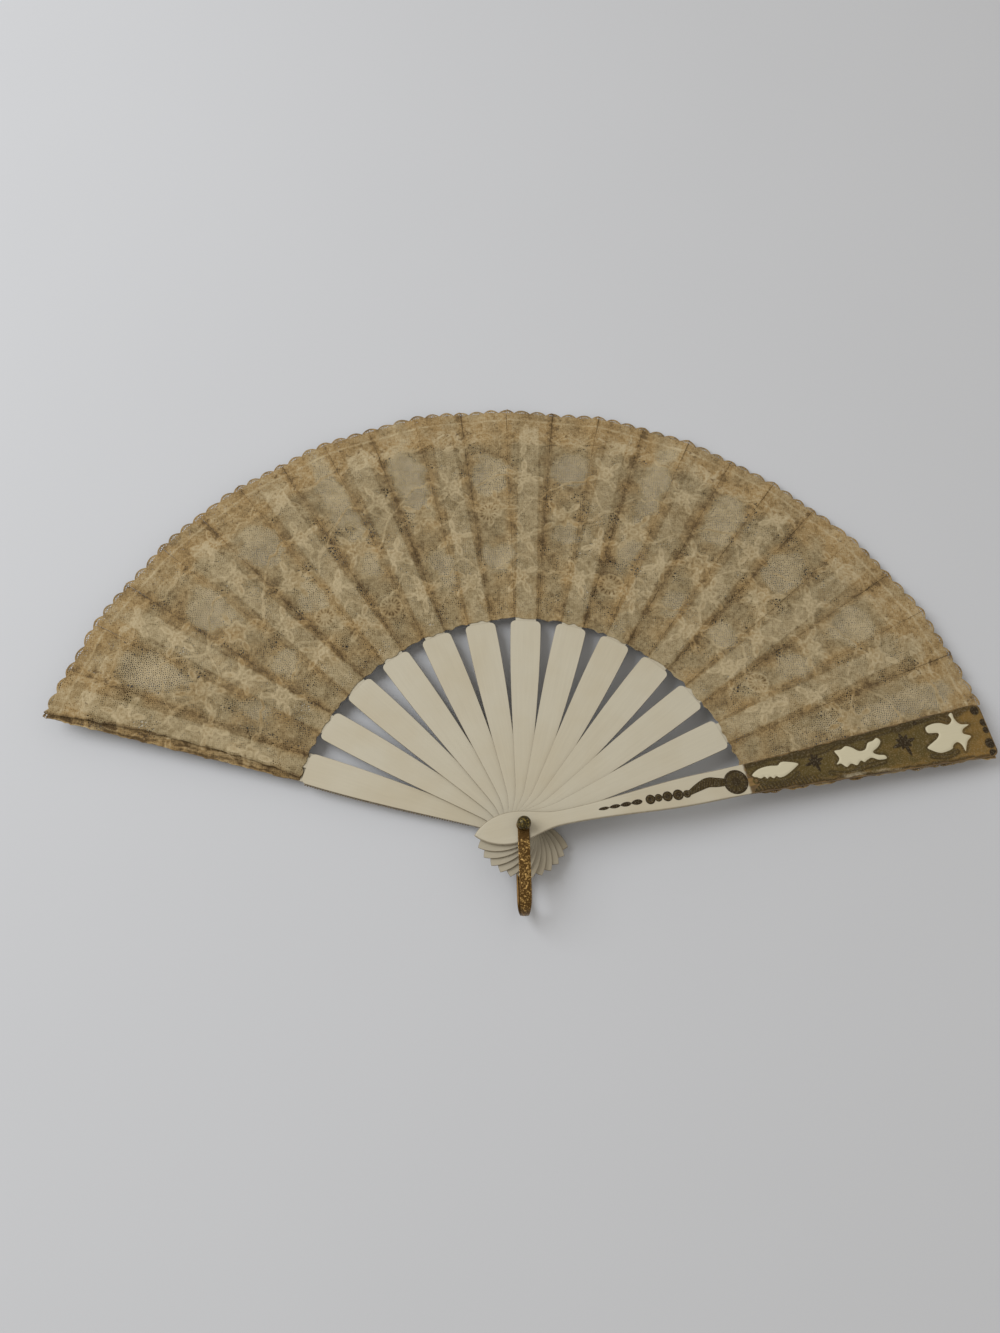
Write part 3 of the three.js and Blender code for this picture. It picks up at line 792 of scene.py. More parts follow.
def guard_half_width(radius):
    """A slow swell from the neck to the shoulder, level to the leaf, then a straight flare."""
    inner = sizes().leaf_inner
    t = np.clip((radius - NECK_RADIUS) / (GUARD_WIDEST - NECK_RADIUS), 0, 1)
    gorge = GUARD_NECK + (GUARD_SHOULDER - GUARD_NECK) * (1 - np.cos(math.pi * t)) / 2
    flare = np.clip((radius - inner) / (GUARD_RADIUS - inner), 0, 1) * (GUARD_TIP - GUARD_SHOULDER)
    return gorge + flare


def edge_grime_and_shade(height, thickness, clean, most, count, steps):
    """How much dirt and painted shade a slab gets: none on both faces, most half way up its
    side, and a little on the rounding between, from the depth where clean ends."""
    depth = np.minimum(height, thickness - height)
    dirt_and_shade = most * smooth(clean, clean + GRIME_AND_SHADE_RISE, depth)
    dirt_and_shade[:count] = 0
    dirt_and_shade[(2 * steps + 3) * count:] = 0
    return dirt_and_shade


def milled_edge(top):
    """A row of beads on the rear guard's lower edge, which stand out past the first stick's
    flank: each an ellipsoid, growing away from the rivet."""
    unit, quads, tris = lathe([(0, -1), (0.7, -0.7), (1, 0), (0.7, 0.7), (0, 1)], BEAD_STEPS)
    lean = math.tan(stick_angle(1) - rear_angle())
    beads = []
    for x in np.arange(MILL_START, MILL_END, MILL_PITCH):
        size = 0.6 + 0.4 * smooth(MILL_START, MILL_START + MILL_GROWTH, x)
        radii = np.array([0.5 * MILL_PITCH * size, MILL_DEPTH, 0.5 * size])
        edge = stick_half_width(x) + lean * x + MILL_SHOWN * size - MILL_DEPTH
        beads.append((unit * radii + (x, edge, top - MILL_DROP), quads, tris))
    return joined(*beads)


# Operators, one for each group of pieces


class FAN_OT_sticks(bpy.types.Operator):
    """Makes the twelve sticks with their ribs"""

    bl_idname = "fan.sticks"
    bl_label = "Sticks"

    def execute(self, context):
        outline = plate_outline(
            STICK_NECK, stick_half_width, sizes().shoulder, SHOULDER_CORNER, STICK_STEPS
        )
        half = STICK_THICKNESS / 2
        plate = slab(outline, -half, half, STICK_BEVEL, circle(RIVET_HOLE, HOLE_STEPS), BEVEL_STEPS)
        along, height = plate[0][:, 0], plate[0][:, 2] + half
        # Dirt and painted shade on the stick's edges, with more of both round its pointed end.
        dirt_and_shade = edge_grime_and_shade(height, STICK_THICKNESS, *STICK_GRIME_AND_SHADE, len(outline), BEVEL_STEPS)
        dirt_and_shade = np.clip(dirt_and_shade * (1 + HEAD_GRIME_AND_SHADE * smooth(-3, -8, along)), 0, 1)
        tilt = math.radians(sizes().tilt)
        c, s = math.cos(tilt), math.sin(tilt)
        for index in range(1, STICK_COUNT + 1):
            name = stick_body(index)
            outline = np.array(FIRST_RIB if index == 1 else RIB)
            rib, *faces = slab(outline, -RIB_THICKNESS / 2, RIB_THICKNESS / 2, RIB_BEVEL)
            x, y, z = rib.T
            leaned = np.stack([x, y * c - z * s, y * s + z * c], 1)
            points, quads, tris = joined(plate, (leaned, *faces))
            points = turned(points, stick_angle(index), middle_level(name))
            values = {"grime": np.concatenate([dirt_and_shade, np.zeros(len(leaned))])}
            piece = make_mesh(f"blade_{index:02d}", points, [quads], values, [tris])
            yellowing = 0.25 if index == 1 else 0.0
            material = ivory_finish(f"ivory_{index:02d}", stick_angle(index), yellowing)
            paint(piece, material, "ivory", name, name)
        return {"FINISHED"}


# Carving and gilding on the front guard, in millimetres from the rivet and across the guard

FOIL_START = 105.2
FOIL_END = 223.9
ORNAMENT_GRID = 0.3
# How deep the gilding and the carved leaves reach into the guard's face
INLAY_DEPTH = -0.12
CARVING_DEPTH = -0.2
ISLANDS = (
    ((107.0, 1.0), (111.0, 3.4), (116.5, 3.8), (120.0, 3.3), (121.8, 4.4), (124.5, 4.2), (129.8, 2.2),
     (127.5, 0.2), (122.5, -2.2), (119.4, -2.6), (118.0, -1.7), (116.5, -2.4), (115.0, -1.3), (113.5, -2.0),
     (112.5, -0.8), (110.5, -1.2)),
    ((148.2, 4.4), (151.5, 4.6), (154.2, 5.7), (157.0, 4.5), (159.8, 2.2), (162.8, 2.4), (165.0, 5.0),
     (167.8, 5.6), (170.2, 6.6), (171.5, 4.6), (169.5, 2.2), (166.2, 0.3), (168.0, -1.3), (171.0, -2.2),
     (171.3, -4.0), (167.5, -3.9), (164.5, -2.3), (162.3, -2.8), (160.4, -3.6), (159.0, -2.6),
     (156.5, -4.3), (154.0, -3.0), (151.5, -4.2), (149.3, -2.1), (147.0, -2.0), (149.3, 0.6)),
    ((194.8, 6.6), (198.5, 7.7), (202.5, 7.4), (206.0, 5.9), (208.5, 7.8), (208.0, 10.3), (210.1, 11.0),
     (210.3, 7.6), (212.0, 5.0), (216.0, 3.9), (212.5, 2.3), (211.6, 0.3), (214.8, -1.7), (212.4, -3.6),
     (210.8, -5.8), (209.2, -8.3), (208.6, -5.0), (207.0, -3.3), (204.6, -4.4), (203.2, -6.0),
     (197.5, -6.7), (193.5, -4.6), (192.0, -2.8), (195.5, -0.9), (198.4, 0.6), (199.6, 2.7), (195.0, 3.7)),
)
# Middles and sizes
STARS = ((137.7, 1.4, 4.8), (182.1, 1.5, 6.0))
UPPER_SCROLL = (
    (104.0, 6.0), (112.0, 7.0), (119.4, 6.9), (131.1, 5.4), (143.3, 5.4), (152.0, 8.1), (167.2, 7.9),
    (182.2, 9.2), (192.3, 10.0), (201.4, 10.6), (207.3, 7.6),
)
LOWER_SCROLLS = (
    ((109.6, -2.6), (115.4, -4.9), (123.8, -4.8), (128.5, -2.1)),
    ((143.4, -5.2), (151.8, -7.4), (160.1, -5.8), (170.9, -5.0)),
    ((193.0, -7.4), (200.0, -9.0), (206.0, -7.2)),
)
TIP_BLOTCHES = (
    (221.2, 9.8, 2.3), (223.1, 3.4, 1.9), (222.9, -0.3, 1.7), (222.2, -6.8, 2.6), (221.8, -11.4, 1.9),
    (190.5, 9.6, 1.0),
)
TIP_CORNER = 3.0
SHOULDER_RING = (108.3, -1.7, 1.25)
BEADS = ((58.4, -0.3, 2.2), (62.2, -0.3, 1.75), (66.4, -0.5, 2.3), (71.3, -0.8, 2.45), (75.4, -1.2, 1.8))
SCROLL_LINE = ((76.0, -1.2), (80.8, 0.6), (85.9, 1.9), (90.2, 1.2), (93.4, 0.6))
DASH_START = 34.3
DASH_PITCH = 5.1
DASHES = 4
SCROLL_START = 75.5
SCROLL_LENGTH = 18.0
INLAY_ENDS = (33, 94.5)
INLAY_HALF = 4.5
STAR_PETALS = 8
MEDAL_PETALS = 12
# Points to each stretch of a curve
LEAF_STEPS = 7
SCROLL_STEPS = 6
LINE_STEPS = 8
MEDALLION = (98.9, -0.45, 5.6)


def spline(points, steps, closed=True):
    """A curve through the points: each stretch is a cubic whose slopes follow its neighbours."""
    p = np.array(points, float)
    if not closed:
        p = np.concatenate([p[:1], p, p[-1:]])
    a, b, c, d = np.roll(p, 1, 0), p, np.roll(p, -1, 0), np.roll(p, -2, 0)
    if not closed:
        a, b, c, d = p[:-3], p[1:-2], p[2:-1], p[3:]
    t = np.linspace(0, 1, steps, endpoint=False)[None, :, None]
    a, b, c, d = (q[:, None, :] for q in (a, b, c, d))
    curve = 0.5 * (2 * b + (c - a) * t + (2 * a - 5 * b + 4 * c - d) * t**2 + (3 * b - a - 3 * c + d) * t**3)
    return curve.reshape(-1, 2)


def away_from(x, y, line, closed):
    """Distance from each place to the nearest side of a line, and whether a loop holds it."""
    a = line if closed else line[:-1]
    b = np.roll(line, -1, 0) if closed else line[1:]
    along = b - a
    px, py = x[..., None] - a[:, 0], y[..., None] - a[:, 1]
    share = np.clip((px * along[:, 0] + py * along[:, 1]) / (along**2).sum(1), 0, 1)
    away = np.hypot(px - share * along[:, 0], py - share * along[:, 1]).min(-1)
    rise = np.where(np.abs(along[:, 1]) < TINY, TINY, along[:, 1])
    crossed = (py >= 0) != (y[..., None] - b[:, 1] >= 0)
    inside = (crossed & (px < py / rise * along[:, 0])).sum(-1) % 2 == 1
    return away, inside


def inside_loop(x, y, points):
    """Distance in from the smoothed loop through the points, negative outside it."""
    away, inside = away_from(x, y, spline(points, LEAF_STEPS), True)
    return np.where(inside, away, -away)


def star_field(x, y, centre_x, centre_y, radius):
    """Eight pointed petals, the diagonal ones shorter, each a lens along its own direction."""
    dx, dy = x - centre_x, y - centre_y
    best = 0.16 * radius - np.hypot(dx, dy)
    for k in range(STAR_PETALS):
        a = k * 2 * math.pi / STAR_PETALS + 0.2
        reach = radius * (0.66 if k % 2 else 1.0) * (1 + 0.16 * math.sin(2.3 * k + centre_x))
        u, v = dx * math.cos(a) + dy * math.sin(a), -dx * math.sin(a) + dy * math.cos(a)
        width = 0.145 * radius * np.sin(math.pi * np.clip(u / reach, 0, 1)) ** 0.8
        best = np.maximum(best, np.where((u > 0) & (u < reach), width - np.abs(v), -1.0))
    return best


def ornament_grid(start, end, half):
    """Places along and across the guard."""
    s = np.arange(start, end, ORNAMENT_GRID)
    t = np.arange(-half, half, ORNAMENT_GRID)
    return np.meshgrid(s, t, indexing="ij")


def relief_plate(name, s, t, field, floor, height, level, extras):
    """A plate on the front guard, kept where field is positive, its top carried by height."""
    under = np.stack([s, t, np.full(s.shape, floor)], -1)
    over = np.stack([s, t, height], -1)
    points, faces, values = cut_sheet(under, over, field, extras)
    return make_mesh(name, turned(points, front_angle(), level), faces, values)


def foil_ground(level):
    """The gold ground: an even sheet to the guard's edges, with the carved leaves left out, a
    ridge beside each, dark stars standing on it, and rubbed places along its lower edge."""
    s, t = ornament_grid(FOIL_START - 1, FOIL_END + 1, GUARD_TIP + 1)
    worn = 0.5 * soft_noise(s, np.sign(t), 4.3, 79) + 0.25 * soft_noise(s, np.sign(t), 1.3, 73)
    edge = guard_half_width(s) - 0.55 + np.minimum(worn, 0.25) - np.abs(t)
    start = FOIL_START + 4.6 * bell(t + 2.6, 2.8)
    end = FOIL_END - s
    rounded = TIP_CORNER - np.hypot(np.maximum(TIP_CORNER - edge, 0), np.maximum(TIP_CORNER - end, 0))
    leaves = highest(inside_loop(s, t, points) for points in ISLANDS)
    field = np.minimum.reduce([edge, s - start, end, rounded, 0.12 - leaves])
    ring_x, ring_y, ring_radius = SHOULDER_RING
    ring = 0.4 - np.abs(np.hypot(s - ring_x, t - ring_y) - ring_radius)
    field = np.maximum(field, ring)
    lines = [spline(points, SCROLL_STEPS, False) for points in (UPPER_SCROLL, *LOWER_SCROLLS)]
    scroll = np.minimum.reduce([away_from(s, t, line, False)[0] for line in lines])
    stars = highest(star_field(s, t, *star) for star in STARS)
    blotch = highest(smooth(1.15, 0.7, np.hypot(s - x, t - y) / r) for x, y, r in TIP_BLOTCHES)
    rough = soft_noise(s, t, 2.4, 71)
    ridge = bell(leaves + 1.6, 0.5) * (0.6 + 0.4 * rough)
    lip = bell(edge - 1.2, 0.5)
    upper = smooth(3.4, 1.4, edge + 0.9 * rough + 0.9 * np.sin(s * 0.23)) * (t > 0)
    lower = smooth(3.0, 1.0, edge + 0.9 * rough) * (t < 0)
    height = 0.14 + 0.06 * ridge + 0.08 * lip + 0.06 * rough + 0.26 * smooth(-0.1, 0.35, stars)
    height = height + 0.16 * bell(scroll, 0.8)
    hatch = np.abs(np.sin(s * 1.9 + 0.7 * t))
    below = smooth(-1.4, -3.4, t / guard_half_width(s) * 5) * smooth(150, 128, s)
    dark = highest([
        smooth(-0.25, 0.2, stars),
        blotch,
        0.5 * upper,
        0.7 * below * hatch,
        0.45 * bell(leaves + 0.5, 0.45),
        0.42 * bell(scroll - 0.9, 0.5) + 0.2 * bell(scroll, 1.5),
        0.55 * smooth(1.4, 0.4, edge + 0.5 * rough),
    ])
    gold = -0.05 + 0.75 * smooth(196, 216, s) + 0.35 * lower + 0.25 * bell(s - 182, 9) * (t < 0)
    patch = smooth(0.1, 0.5, soft_noise(s, t * 0.3, 7.0, 77)) * smooth(146, 156, s) * smooth(206, 196, s)
    bare = smooth(1.9, 0.9, edge) * (t < 0) * patch
    return relief_plate(
        "front_foil", s, t, field, INLAY_DEPTH, height, level, {"gold": gold, "dark": dark, "bare": bare}
    )


def carved_leaf(index, points, level):
    """A raised leaf of the guard's own bone: flat on top, rounded at its edge, lightly veined."""
    p = np.array(points)
    s = np.arange(p[:, 0].min() - 1, p[:, 0].max() + 1, ORNAMENT_GRID)
    t = np.arange(p[:, 1].min() - 1, p[:, 1].max() + 1, ORNAMENT_GRID)
    s, t = np.meshgrid(s, t, indexing="ij")
    inside = inside_loop(s, t, points)
    vein = bell(t - p[:, 1].mean() - 0.8 * np.sin(s * 0.35), 0.35)
    height = 0.05 + 0.30 * smooth(0.0, 1.1, inside) - 0.05 * vein * smooth(0.4, 1.2, inside)
    return relief_plate(f"carved_leaf_{index}", s, t, inside, CARVING_DEPTH, height, level, {})


def inlay(level):
    """Four dashes that thicken, five ringed beads and an S with cross cuts, one after another."""
    s, t = ornament_grid(*INLAY_ENDS, INLAY_HALF)
    beat = (s - DASH_START) / DASH_PITCH
    share = np.clip(beat / DASHES, 0, 1)
    dash = (0.75 + 0.65 * share) * np.sqrt(np.clip(np.sin(math.pi * (beat % 1.0)), 0, 1)) - 0.12
    field = np.where((beat > 0) & (beat < DASHES), dash - np.abs(t + 0.3 * share), NOWHERE)
    rings = np.zeros(s.shape)
    for x, y, radius in BEADS:
        rho = np.hypot(s - x, t - y)
        field = np.maximum(field, radius - rho)
        rings = np.maximum(rings, bell(rho - 0.62 * radius, 0.32))
    away, _ = away_from(s, t, spline(SCROLL_LINE, LINE_STEPS, False), False)
    swell = np.clip((s - SCROLL_START) / SCROLL_LENGTH, 0, 1)
    scroll = 0.9 + 1.4 * np.sin(0.78 * math.pi * swell) - away
    field = np.maximum(field, np.where(s > SCROLL_START, scroll, NOWHERE))
    cuts = np.where(s > SCROLL_START + 1, np.abs(np.sin(s * 2.6 - t)), rings)
    height = 0.10 + 0.14 * cuts * smooth(0.0, 0.5, field)
    return relief_plate(
        "front_inlay", s, t, field, INLAY_DEPTH, height, level,
        {"gold": 0.12 * cuts - 0.15, "dark": 0.85 - 0.45 * cuts, "bare": np.zeros(s.shape)},
    )


def medallion(level):
    """A low dome with a rim, a button at its middle and twelve petals between."""
    x, y, radius = MEDALLION
    s, t = ornament_grid(x - radius - 1, x + radius + 1, radius + 2)
    dx, dy = s - x, t - y
    rho, a = np.hypot(dx, dy), np.arctan2(dy, dx)
    share = rho / radius
    petals = np.abs(np.cos(MEDAL_PETALS / 2 * a)) * smooth(0.3, 0.45, share) * smooth(0.85, 0.7, share)
    rim = bell(share - 0.9, 0.06)
    button = smooth(0.26, 0.16, share)
    dome = 1 - np.clip(share, 0, 1) ** 2
    height = 0.12 + 0.42 * dome + 0.12 * petals + 0.14 * rim + 0.12 * button
    return relief_plate(
        "front_medal", s, t, radius - rho, INLAY_DEPTH, height, level,
        {"gold": 0.05 * rim + 0.1 * petals - 0.1, "dark": 0.72 - 0.32 * petals, "bare": np.zeros(s.shape)},
    )


class FAN_OT_guards(bpy.types.Operator):
    """Makes the two guards, and the carving and gilding on the front one"""

    bl_idname = "fan.guards"
    bl_label = "Guards"

    def execute(self, context):
        outline = plate_outline(GUARD_NECK, guard_half_width, GUARD_RADIUS, TIP_CORNER, GUARD_STEPS)
        hole = circle(RIVET_HOLE, HOLE_STEPS)
        shoulder = sizes().shoulder
        for name, angle, seat_under, seat_over in (
            ("rear_guard", rear_angle(), 0.0, REAR_LEAF_SEAT),
            ("front_guard", front_angle(), FRONT_LEAF_SEAT, 0.0),
        ):
            thickness, bevel = GUARD_THICKNESS[name], GUARD_BEVEL[name]
            rounding = bevel + (LEAF_BEVEL - bevel) * smooth(shoulder - 12, shoulder, outline[:, 0])
            points, quads, caps = slab(outline, 0.0, thickness, rounding, hole, GUARD_BEVEL_STEPS)
            share = points[:, 2] / thickness
            seat = smooth(shoulder - 1, shoulder + 1, points[:, 0])
            points[:, 2] += seat * (seat_under * (1 - share) - seat_over * share)
            depth = share * thickness
            # Dirt and painted shade on the guard's rounded edges and sides.
            dirt_and_shade = edge_grime_and_shade(depth, thickness, *GUARD_GRIME_AND_SHADE, len(outline), GUARD_BEVEL_STEPS)
            smoothed = [quads]
            if name == "rear_guard":
                mill = milled_edge(thickness)
                smoothed = [np.concatenate([quads, mill[1] + len(points)]), mill[2] + len(points)]
                # Each bead takes the full grime colour: a dark line of dirt and painted shade at the seam
                # beside the first stick.
                dirt_and_shade = np.concatenate([dirt_and_shade, np.ones(len(mill[0]))])
                points = np.concatenate([points, mill[0]])
            points = turned(points, angle, box_mm(name)[0][2])
            piece = make_mesh(f"{name}_blade", points, smoothed, {"grime": dirt_and_shade}, [caps])
            paint(piece, ivory_finish(f"ivory_{name}", angle, 0.1, True), "ivory", name, name)
        c = colours()
        top = box_mm("front_guard")[0][2] + GUARD_THICKNESS["front_guard"]
        carved = ivory_finish("ivory_carving", front_angle(), -0.3, False, c.carving)
        for index, points in enumerate(ISLANDS, 1):
            paint(carved_leaf(index, points, top), carved, "ivory", "front_guard", "front_guard")
        ground = "front_gilt_ground", "front_star_1", "front_star_2"
        paint(foil_ground(top), gilt_finish("gilt_foil", c.gilt), "gilt", "front_guard", *ground)
        dark = gilt_finish("gilt_inlay", c.gilt)
        paint(inlay(top), dark, "gilt", "front_guard", "front_scroll")
        paint(medallion(top), dark, "gilt", "front_guard", "front_medallion")
        underside = frame["nodes"]["rear_gilt_ground"]
        underside.data.materials.clear()
        underside.data.materials.append(gilt_finish("gilt_underside", c.gilt))
        return {"FINISHED"}


# Lace

# A window of bare net in each free panel, at these offsets from the pleat's middle in pleats,
# radii, and half widths and half heights in millimetres, used in turn along the leaf.
UPPER_WINDOWS = (
    (0.01, 191.0, 8.0, 19.0), (0.0, 186.0, 10.0, 11.0), (0.02, 192.0, 10.5, 10.5), (0.08, 194.0, 6.0, 25.0),
)
LOWER_WINDOWS = (
    (0.12, 135.0, 5.0, 9.5), (0.03, 138.0, 7.0, 6.5), (0.08, 155.0, 6.4, 8.0), (0.05, 154.0, 4.4, 10.0),
)
ROSETTES = ((8.48, 130.5, 6.2), (4.5, 127.0, 5.4), (3.5, 141.0, 4.8), (6.44, 164.5, 5.0), (11.5, 133.0, 5.0))
# The closed stack presses the lace on the ribs and the free lace to these shares of their
# thickness. A free panel then lies this far above its rib's panel.
FOLD_GAP = 0.46
LAST_FOLD_GAP = 0.29
# How much of the cloth the cut edges leave
FIRST_KEPT = 0.86
REAR_KEPT = 0.95
FRONT_KEPT = 0.9
# How far a free panel hangs through, and how far the ends lie below the middle of their nodes
SAG = 0.5
END_DROP = 0.1
# How far the two ends reach past their guards' middle lines, in half panels
REAR_PAST = 1.3
FRONT_PAST = 1.35
# How far the leaf's ends show past the guards' lower edges, and how ragged they are
REAR_WRAP = 0.3
REAR_RAGGED = 0.5
FRONT_PEEP = 0.4
FRONT_RAGGED = 0.8
STRIP_ENDS = 1.3
STRIP_SWELL = 3.2
# Eyelets of the net, in pitches, and the densities between which they shrink to nothing
EYELET_RADIUS = 0.33
EYELET_DRIFT = 0.2
EYELET_FADE = (0.05, 0.72)
SMALLEST_EYELET = 0.2
SCALLOPS = 6
SCALLOP_DEPTH = 2.1
# Radius, sway, phase and half width of each
GARLANDS = ((166, 6.0, 0.3, 0.9), (134, 4.0, 2.1, 0.8), (210, 2.5, 1.0, 0.9), (180, 7.0, 4.0, 0.6))
# Turns pleats into about millimetres for the noise
ARC_SCALE = 34.0
PLEATS = 14
WINDOW_KINDS = 4
LEAVES_PER_FLOWER = 4
# Radii between which the cloth ruffles more, the border sets in and the closed bands lie
RUFFLED = (190, 226)
BORDER = (203, 212)
OUTER_BAND = (206.5, 209.5)
INNER_BAND = (108.5, 106.5)
# Radii of the arches, of the last worked holes, painted as shade, and of the thread along the rim
ARCHES = 208.5
LAST_HOLES = 204
RIM_THREAD = 220.5
RIM_ROOM = 1.2
# Across a rib and along it, where it stops showing through
RIB_BAND = (5.8, 4.6)
RIB_BAND_END = (219, 213)


def petalled(dx, dy, radius, petals, depth, turn):
    """How far inside a flower a point is: its edge swells and narrows with its petals."""
    a = np.arctan2(dy, dx)
    return radius * (1 - depth + depth * np.cos(petals * a + turn)) - np.hypot(dx, dy)


def oval(dx, dy, half_x, half_y, turn):
    """How far inside a turned oval a point is."""
    c, s = math.cos(turn), math.sin(turn)
    u, v = (c * dx + s * dy) / half_x, (-s * dx + c * dy) / half_y
    return (1 - np.hypot(u, v)) * min(half_x, half_y)


class Layers:
    """What the pattern draws at each place: how far inside a motif, a window or a worked hole
    it is, and how high its cord. The worked holes are not cut but painted as shade."""

    def __init__(self, shape):
        self.motif, self.window, self.holes = (np.full(shape, NOWHERE) for _ in range(3))
        self.cord = np.zeros(shape)

    def fill(self, d):
        """Adds a motif of closed cloth."""
        self.motif = np.maximum(self.motif, d)

    def stitch(self, d, width, strength=1.0):
        """Adds a cord where d is 0."""
        self.cord = np.maximum(self.cord, strength * bell(d, width))

    def pierce(self, where, d):
        """Adds worked holes, painted as shade rather than cut."""
        self.holes = np.maximum(self.holes, np.where(where, d, NOWHERE))

    def add_window(self, dx, dy, half_x, half_y):
        """An oval of bare net."""
        self.window = np.maximum(self.window, oval(dx, dy, half_x, half_y, 0.0))

    def add_flower(self, dx, dy, size, petals, turn):
        """Corded petals round a raised heart, with an eye in each, painted as shade."""
        d = petalled(dx, dy, size, petals, 0.16, turn)
        heart = 0.28 * size - np.hypot(dx, dy)
        self.fill(d)
        self.stitch(d - 0.6, 0.9)
        self.stitch(heart, 0.5)
        eyes = petalled(dx, dy, size * 0.62, petals, 0.5, turn + math.pi) - 0.5
        self.pierce(heart <= -0.8, np.minimum(eyes, 0.0) - 0.12)

    def add_leaf(self, dx, dy, half_x, half_y, turn):
        """A small corded oval."""
        d = oval(dx, dy, half_x, half_y, turn)
        self.fill(d)
        self.stitch(d, 0.4)

    def add_rosette(self, dx, dy, size):
        """A wheel with a corded rim and hub, with holes painted as shade between its spokes."""
        rho, a = np.hypot(dx, dy), np.arctan2(dy, dx)
        self.fill(size - rho)
        self.stitch(size - rho, 0.5, 0.7)
        self.stitch(size * 0.33 - rho, 0.4, 0.6)
        spokes = np.abs(np.sin(7 * a)) * rho * 0.17
        self.pierce(rho < size, 0.30 - np.hypot((rho - 0.72 * size) / 2.6, spokes))


class Lace:
    """The pattern of the whole leaf, at a place given by its pleat and its radius. A pleat is
    1 from one stick to the next, and 1 to 12 on the sticks."""

    def __init__(self):
        self.step = math.radians(sizes().step)
        rng = np.random.default_rng(41)
        self.eyelets = rng.uniform(-1, 1, (3, LATTICE, LATTICE))
        self.windows = []
        self.flowers = []
        self.leaves = []
        for pleat in range(PLEATS):
            shift, size, side = rng.uniform(-1, 1, 3)
            kind = (pleat + 3) % WINDOW_KINDS
            for offset, radius, half_x, half_y in (UPPER_WINDOWS[kind], LOWER_WINDOWS[kind]):
                self.windows.append((pleat + 0.5 + offset, radius + 2 * side, half_x, half_y + shift))
            self.flower(rng, pleat + 0.5 + 0.08 * side, 166.0 + 3 * shift, 6.0 + 0.6 * size)
            self.flower(rng, pleat + 0.06 * shift, 187 + 6 * size, 4.6 + 0.5 * side)
            self.flower(rng, pleat + 0.12 * size, 150 + 3 * side, 4.3 + 0.5 * shift)
            self.flower(rng, pleat + 0.12 * shift, 128 + 2 * size, 4.8)
            self.flower(rng, pleat + 0.3 * side, 209 + 2 * size, 4.0)

    def flower(self, rng, pleat, radius, size):
        """A flower with a ring of leaves round it."""
        petals = int(rng.integers(5, 8))
        turn, lean = rng.uniform(0, 2 * math.pi, 2)
        self.flowers.append((pleat, radius, size, petals, turn))
        for k in range(LEAVES_PER_FLOWER):
            a = lean + k * 2 * math.pi / LEAVES_PER_FLOWER + rng.uniform(-0.3, 0.3)
            reach = size + 2.6
            place = pleat + reach * math.cos(a) / (self.step * radius)
            self.leaves.append((place, radius + reach * math.sin(a), 2.8, 1.2, a))

    def at(self, pleat, radius):
        """Gives the cloth's density from 0, bare net, to 1, solid, its raised cords, its share
        of flowers, how far inside a worked hole, painted as shade, each place is, and its share of windows."""
        arc = self.step * radius
        u = pleat * ARC_SCALE
        layers = Layers(radius.shape)
        for draw, items, room in (
            (layers.add_window, self.windows, 4), (layers.add_flower, self.flowers, 3),
            (layers.add_leaf, self.leaves, 3.2), (layers.add_rosette, ROSETTES, 3),
        ):
            for item in items:
                if np.abs(pleat - item[0]).min() * self.step * item[1] < item[2] + room:
                    draw((pleat - item[0]) * arc, radius - item[1], *item[2:])
        for base, sway, phase, width in GARLANDS:
            line = base + sway * np.sin(2 * math.pi * pleat + phase)
            line = line + 1.5 * np.sin(4 * math.pi * pleat + phase)
            line = line + 1.6 * soft_noise(u, 0 * radius, 3.3, 97)
            d = width * (0.5 + 0.5 * soft_noise(u, radius, 4.1, 89)) - np.abs(radius - line)
            layers.fill(d)
            layers.stitch(d, 0.35, 0.7)
        arch = radius - ARCHES - 5.0 * np.abs(np.sin(3 * math.pi * pleat + 0.4))
        layers.stitch(arch, 0.5, 0.8)
        layers.stitch(arch + 2.0, 0.4, 0.5)
        curls = soft_noise(u, radius, 5.2, 61), soft_noise(u, radius, 3.6, 67)
        for curl, mask in zip(curls, curls[::-1]):
            layers.stitch(curl, 0.13, 0.42 * smooth(-0.2, 0.4, mask))
        waved = radius + 2.2 * np.cos(4 * math.pi * pleat)
        band = smooth(*OUTER_BAND, waved) + smooth(*INNER_BAND, radius)
        holes = np.where(radius > LAST_HOLES, NOWHERE, layers.holes)
        solid = smooth(-0.6, 0.5, layers.motif)
        bare = smooth(-2.4, 2.4, layers.window + soft_noise(u, radius, 5.0, 5) * 2.4)
        density = 0.50 + 0.34 * soft_noise(u, radius, 6.5, 11)
        density = np.clip(density, 0.12, 0.74) * (1 - bare)
        density = np.maximum(np.maximum(density, solid), np.clip(band, 0, 1) * 0.8)
        return density, layers.cord * (1 - 0.8 * bare), solid, holes, bare * (1 - solid)

    def openings(self, u, v, density):
        """How far each place is from the nearest eyelet: eyelets stand in staggered rows, each
        moved and made smaller by chance, and they shrink to nothing where the cloth is dense."""
        pitch = sizes().net_pitch
        rise = pitch * math.sqrt(0.75)
        row = v / rise
        reach = EYELET_RADIUS * pitch * (1 - smooth(*EYELET_FADE, density))
        nearest = np.full(u.shape, -NOWHERE)
        for k in (0, 1):
            line = np.floor(row) + k
            shift = np.where(line % 2 == 0, 0.0, 0.5)
            column = np.round(u / pitch - shift)
            across, along = column.astype(int) % LATTICE, line.astype(int) % LATTICE
            move_u, move_v, size = self.eyelets[:, along, across]
            du = u - (column + shift + EYELET_DRIFT * move_u) * pitch
            dv = v - (line + EYELET_DRIFT * move_v) * rise
            radius = reach * np.clip(0.45 + 0.75 * size, 0, 1)
            away = np.hypot(du, dv) - radius
            nearest = np.where(radius > SMALLEST_EYELET, np.minimum(nearest, away), nearest)
        return nearest

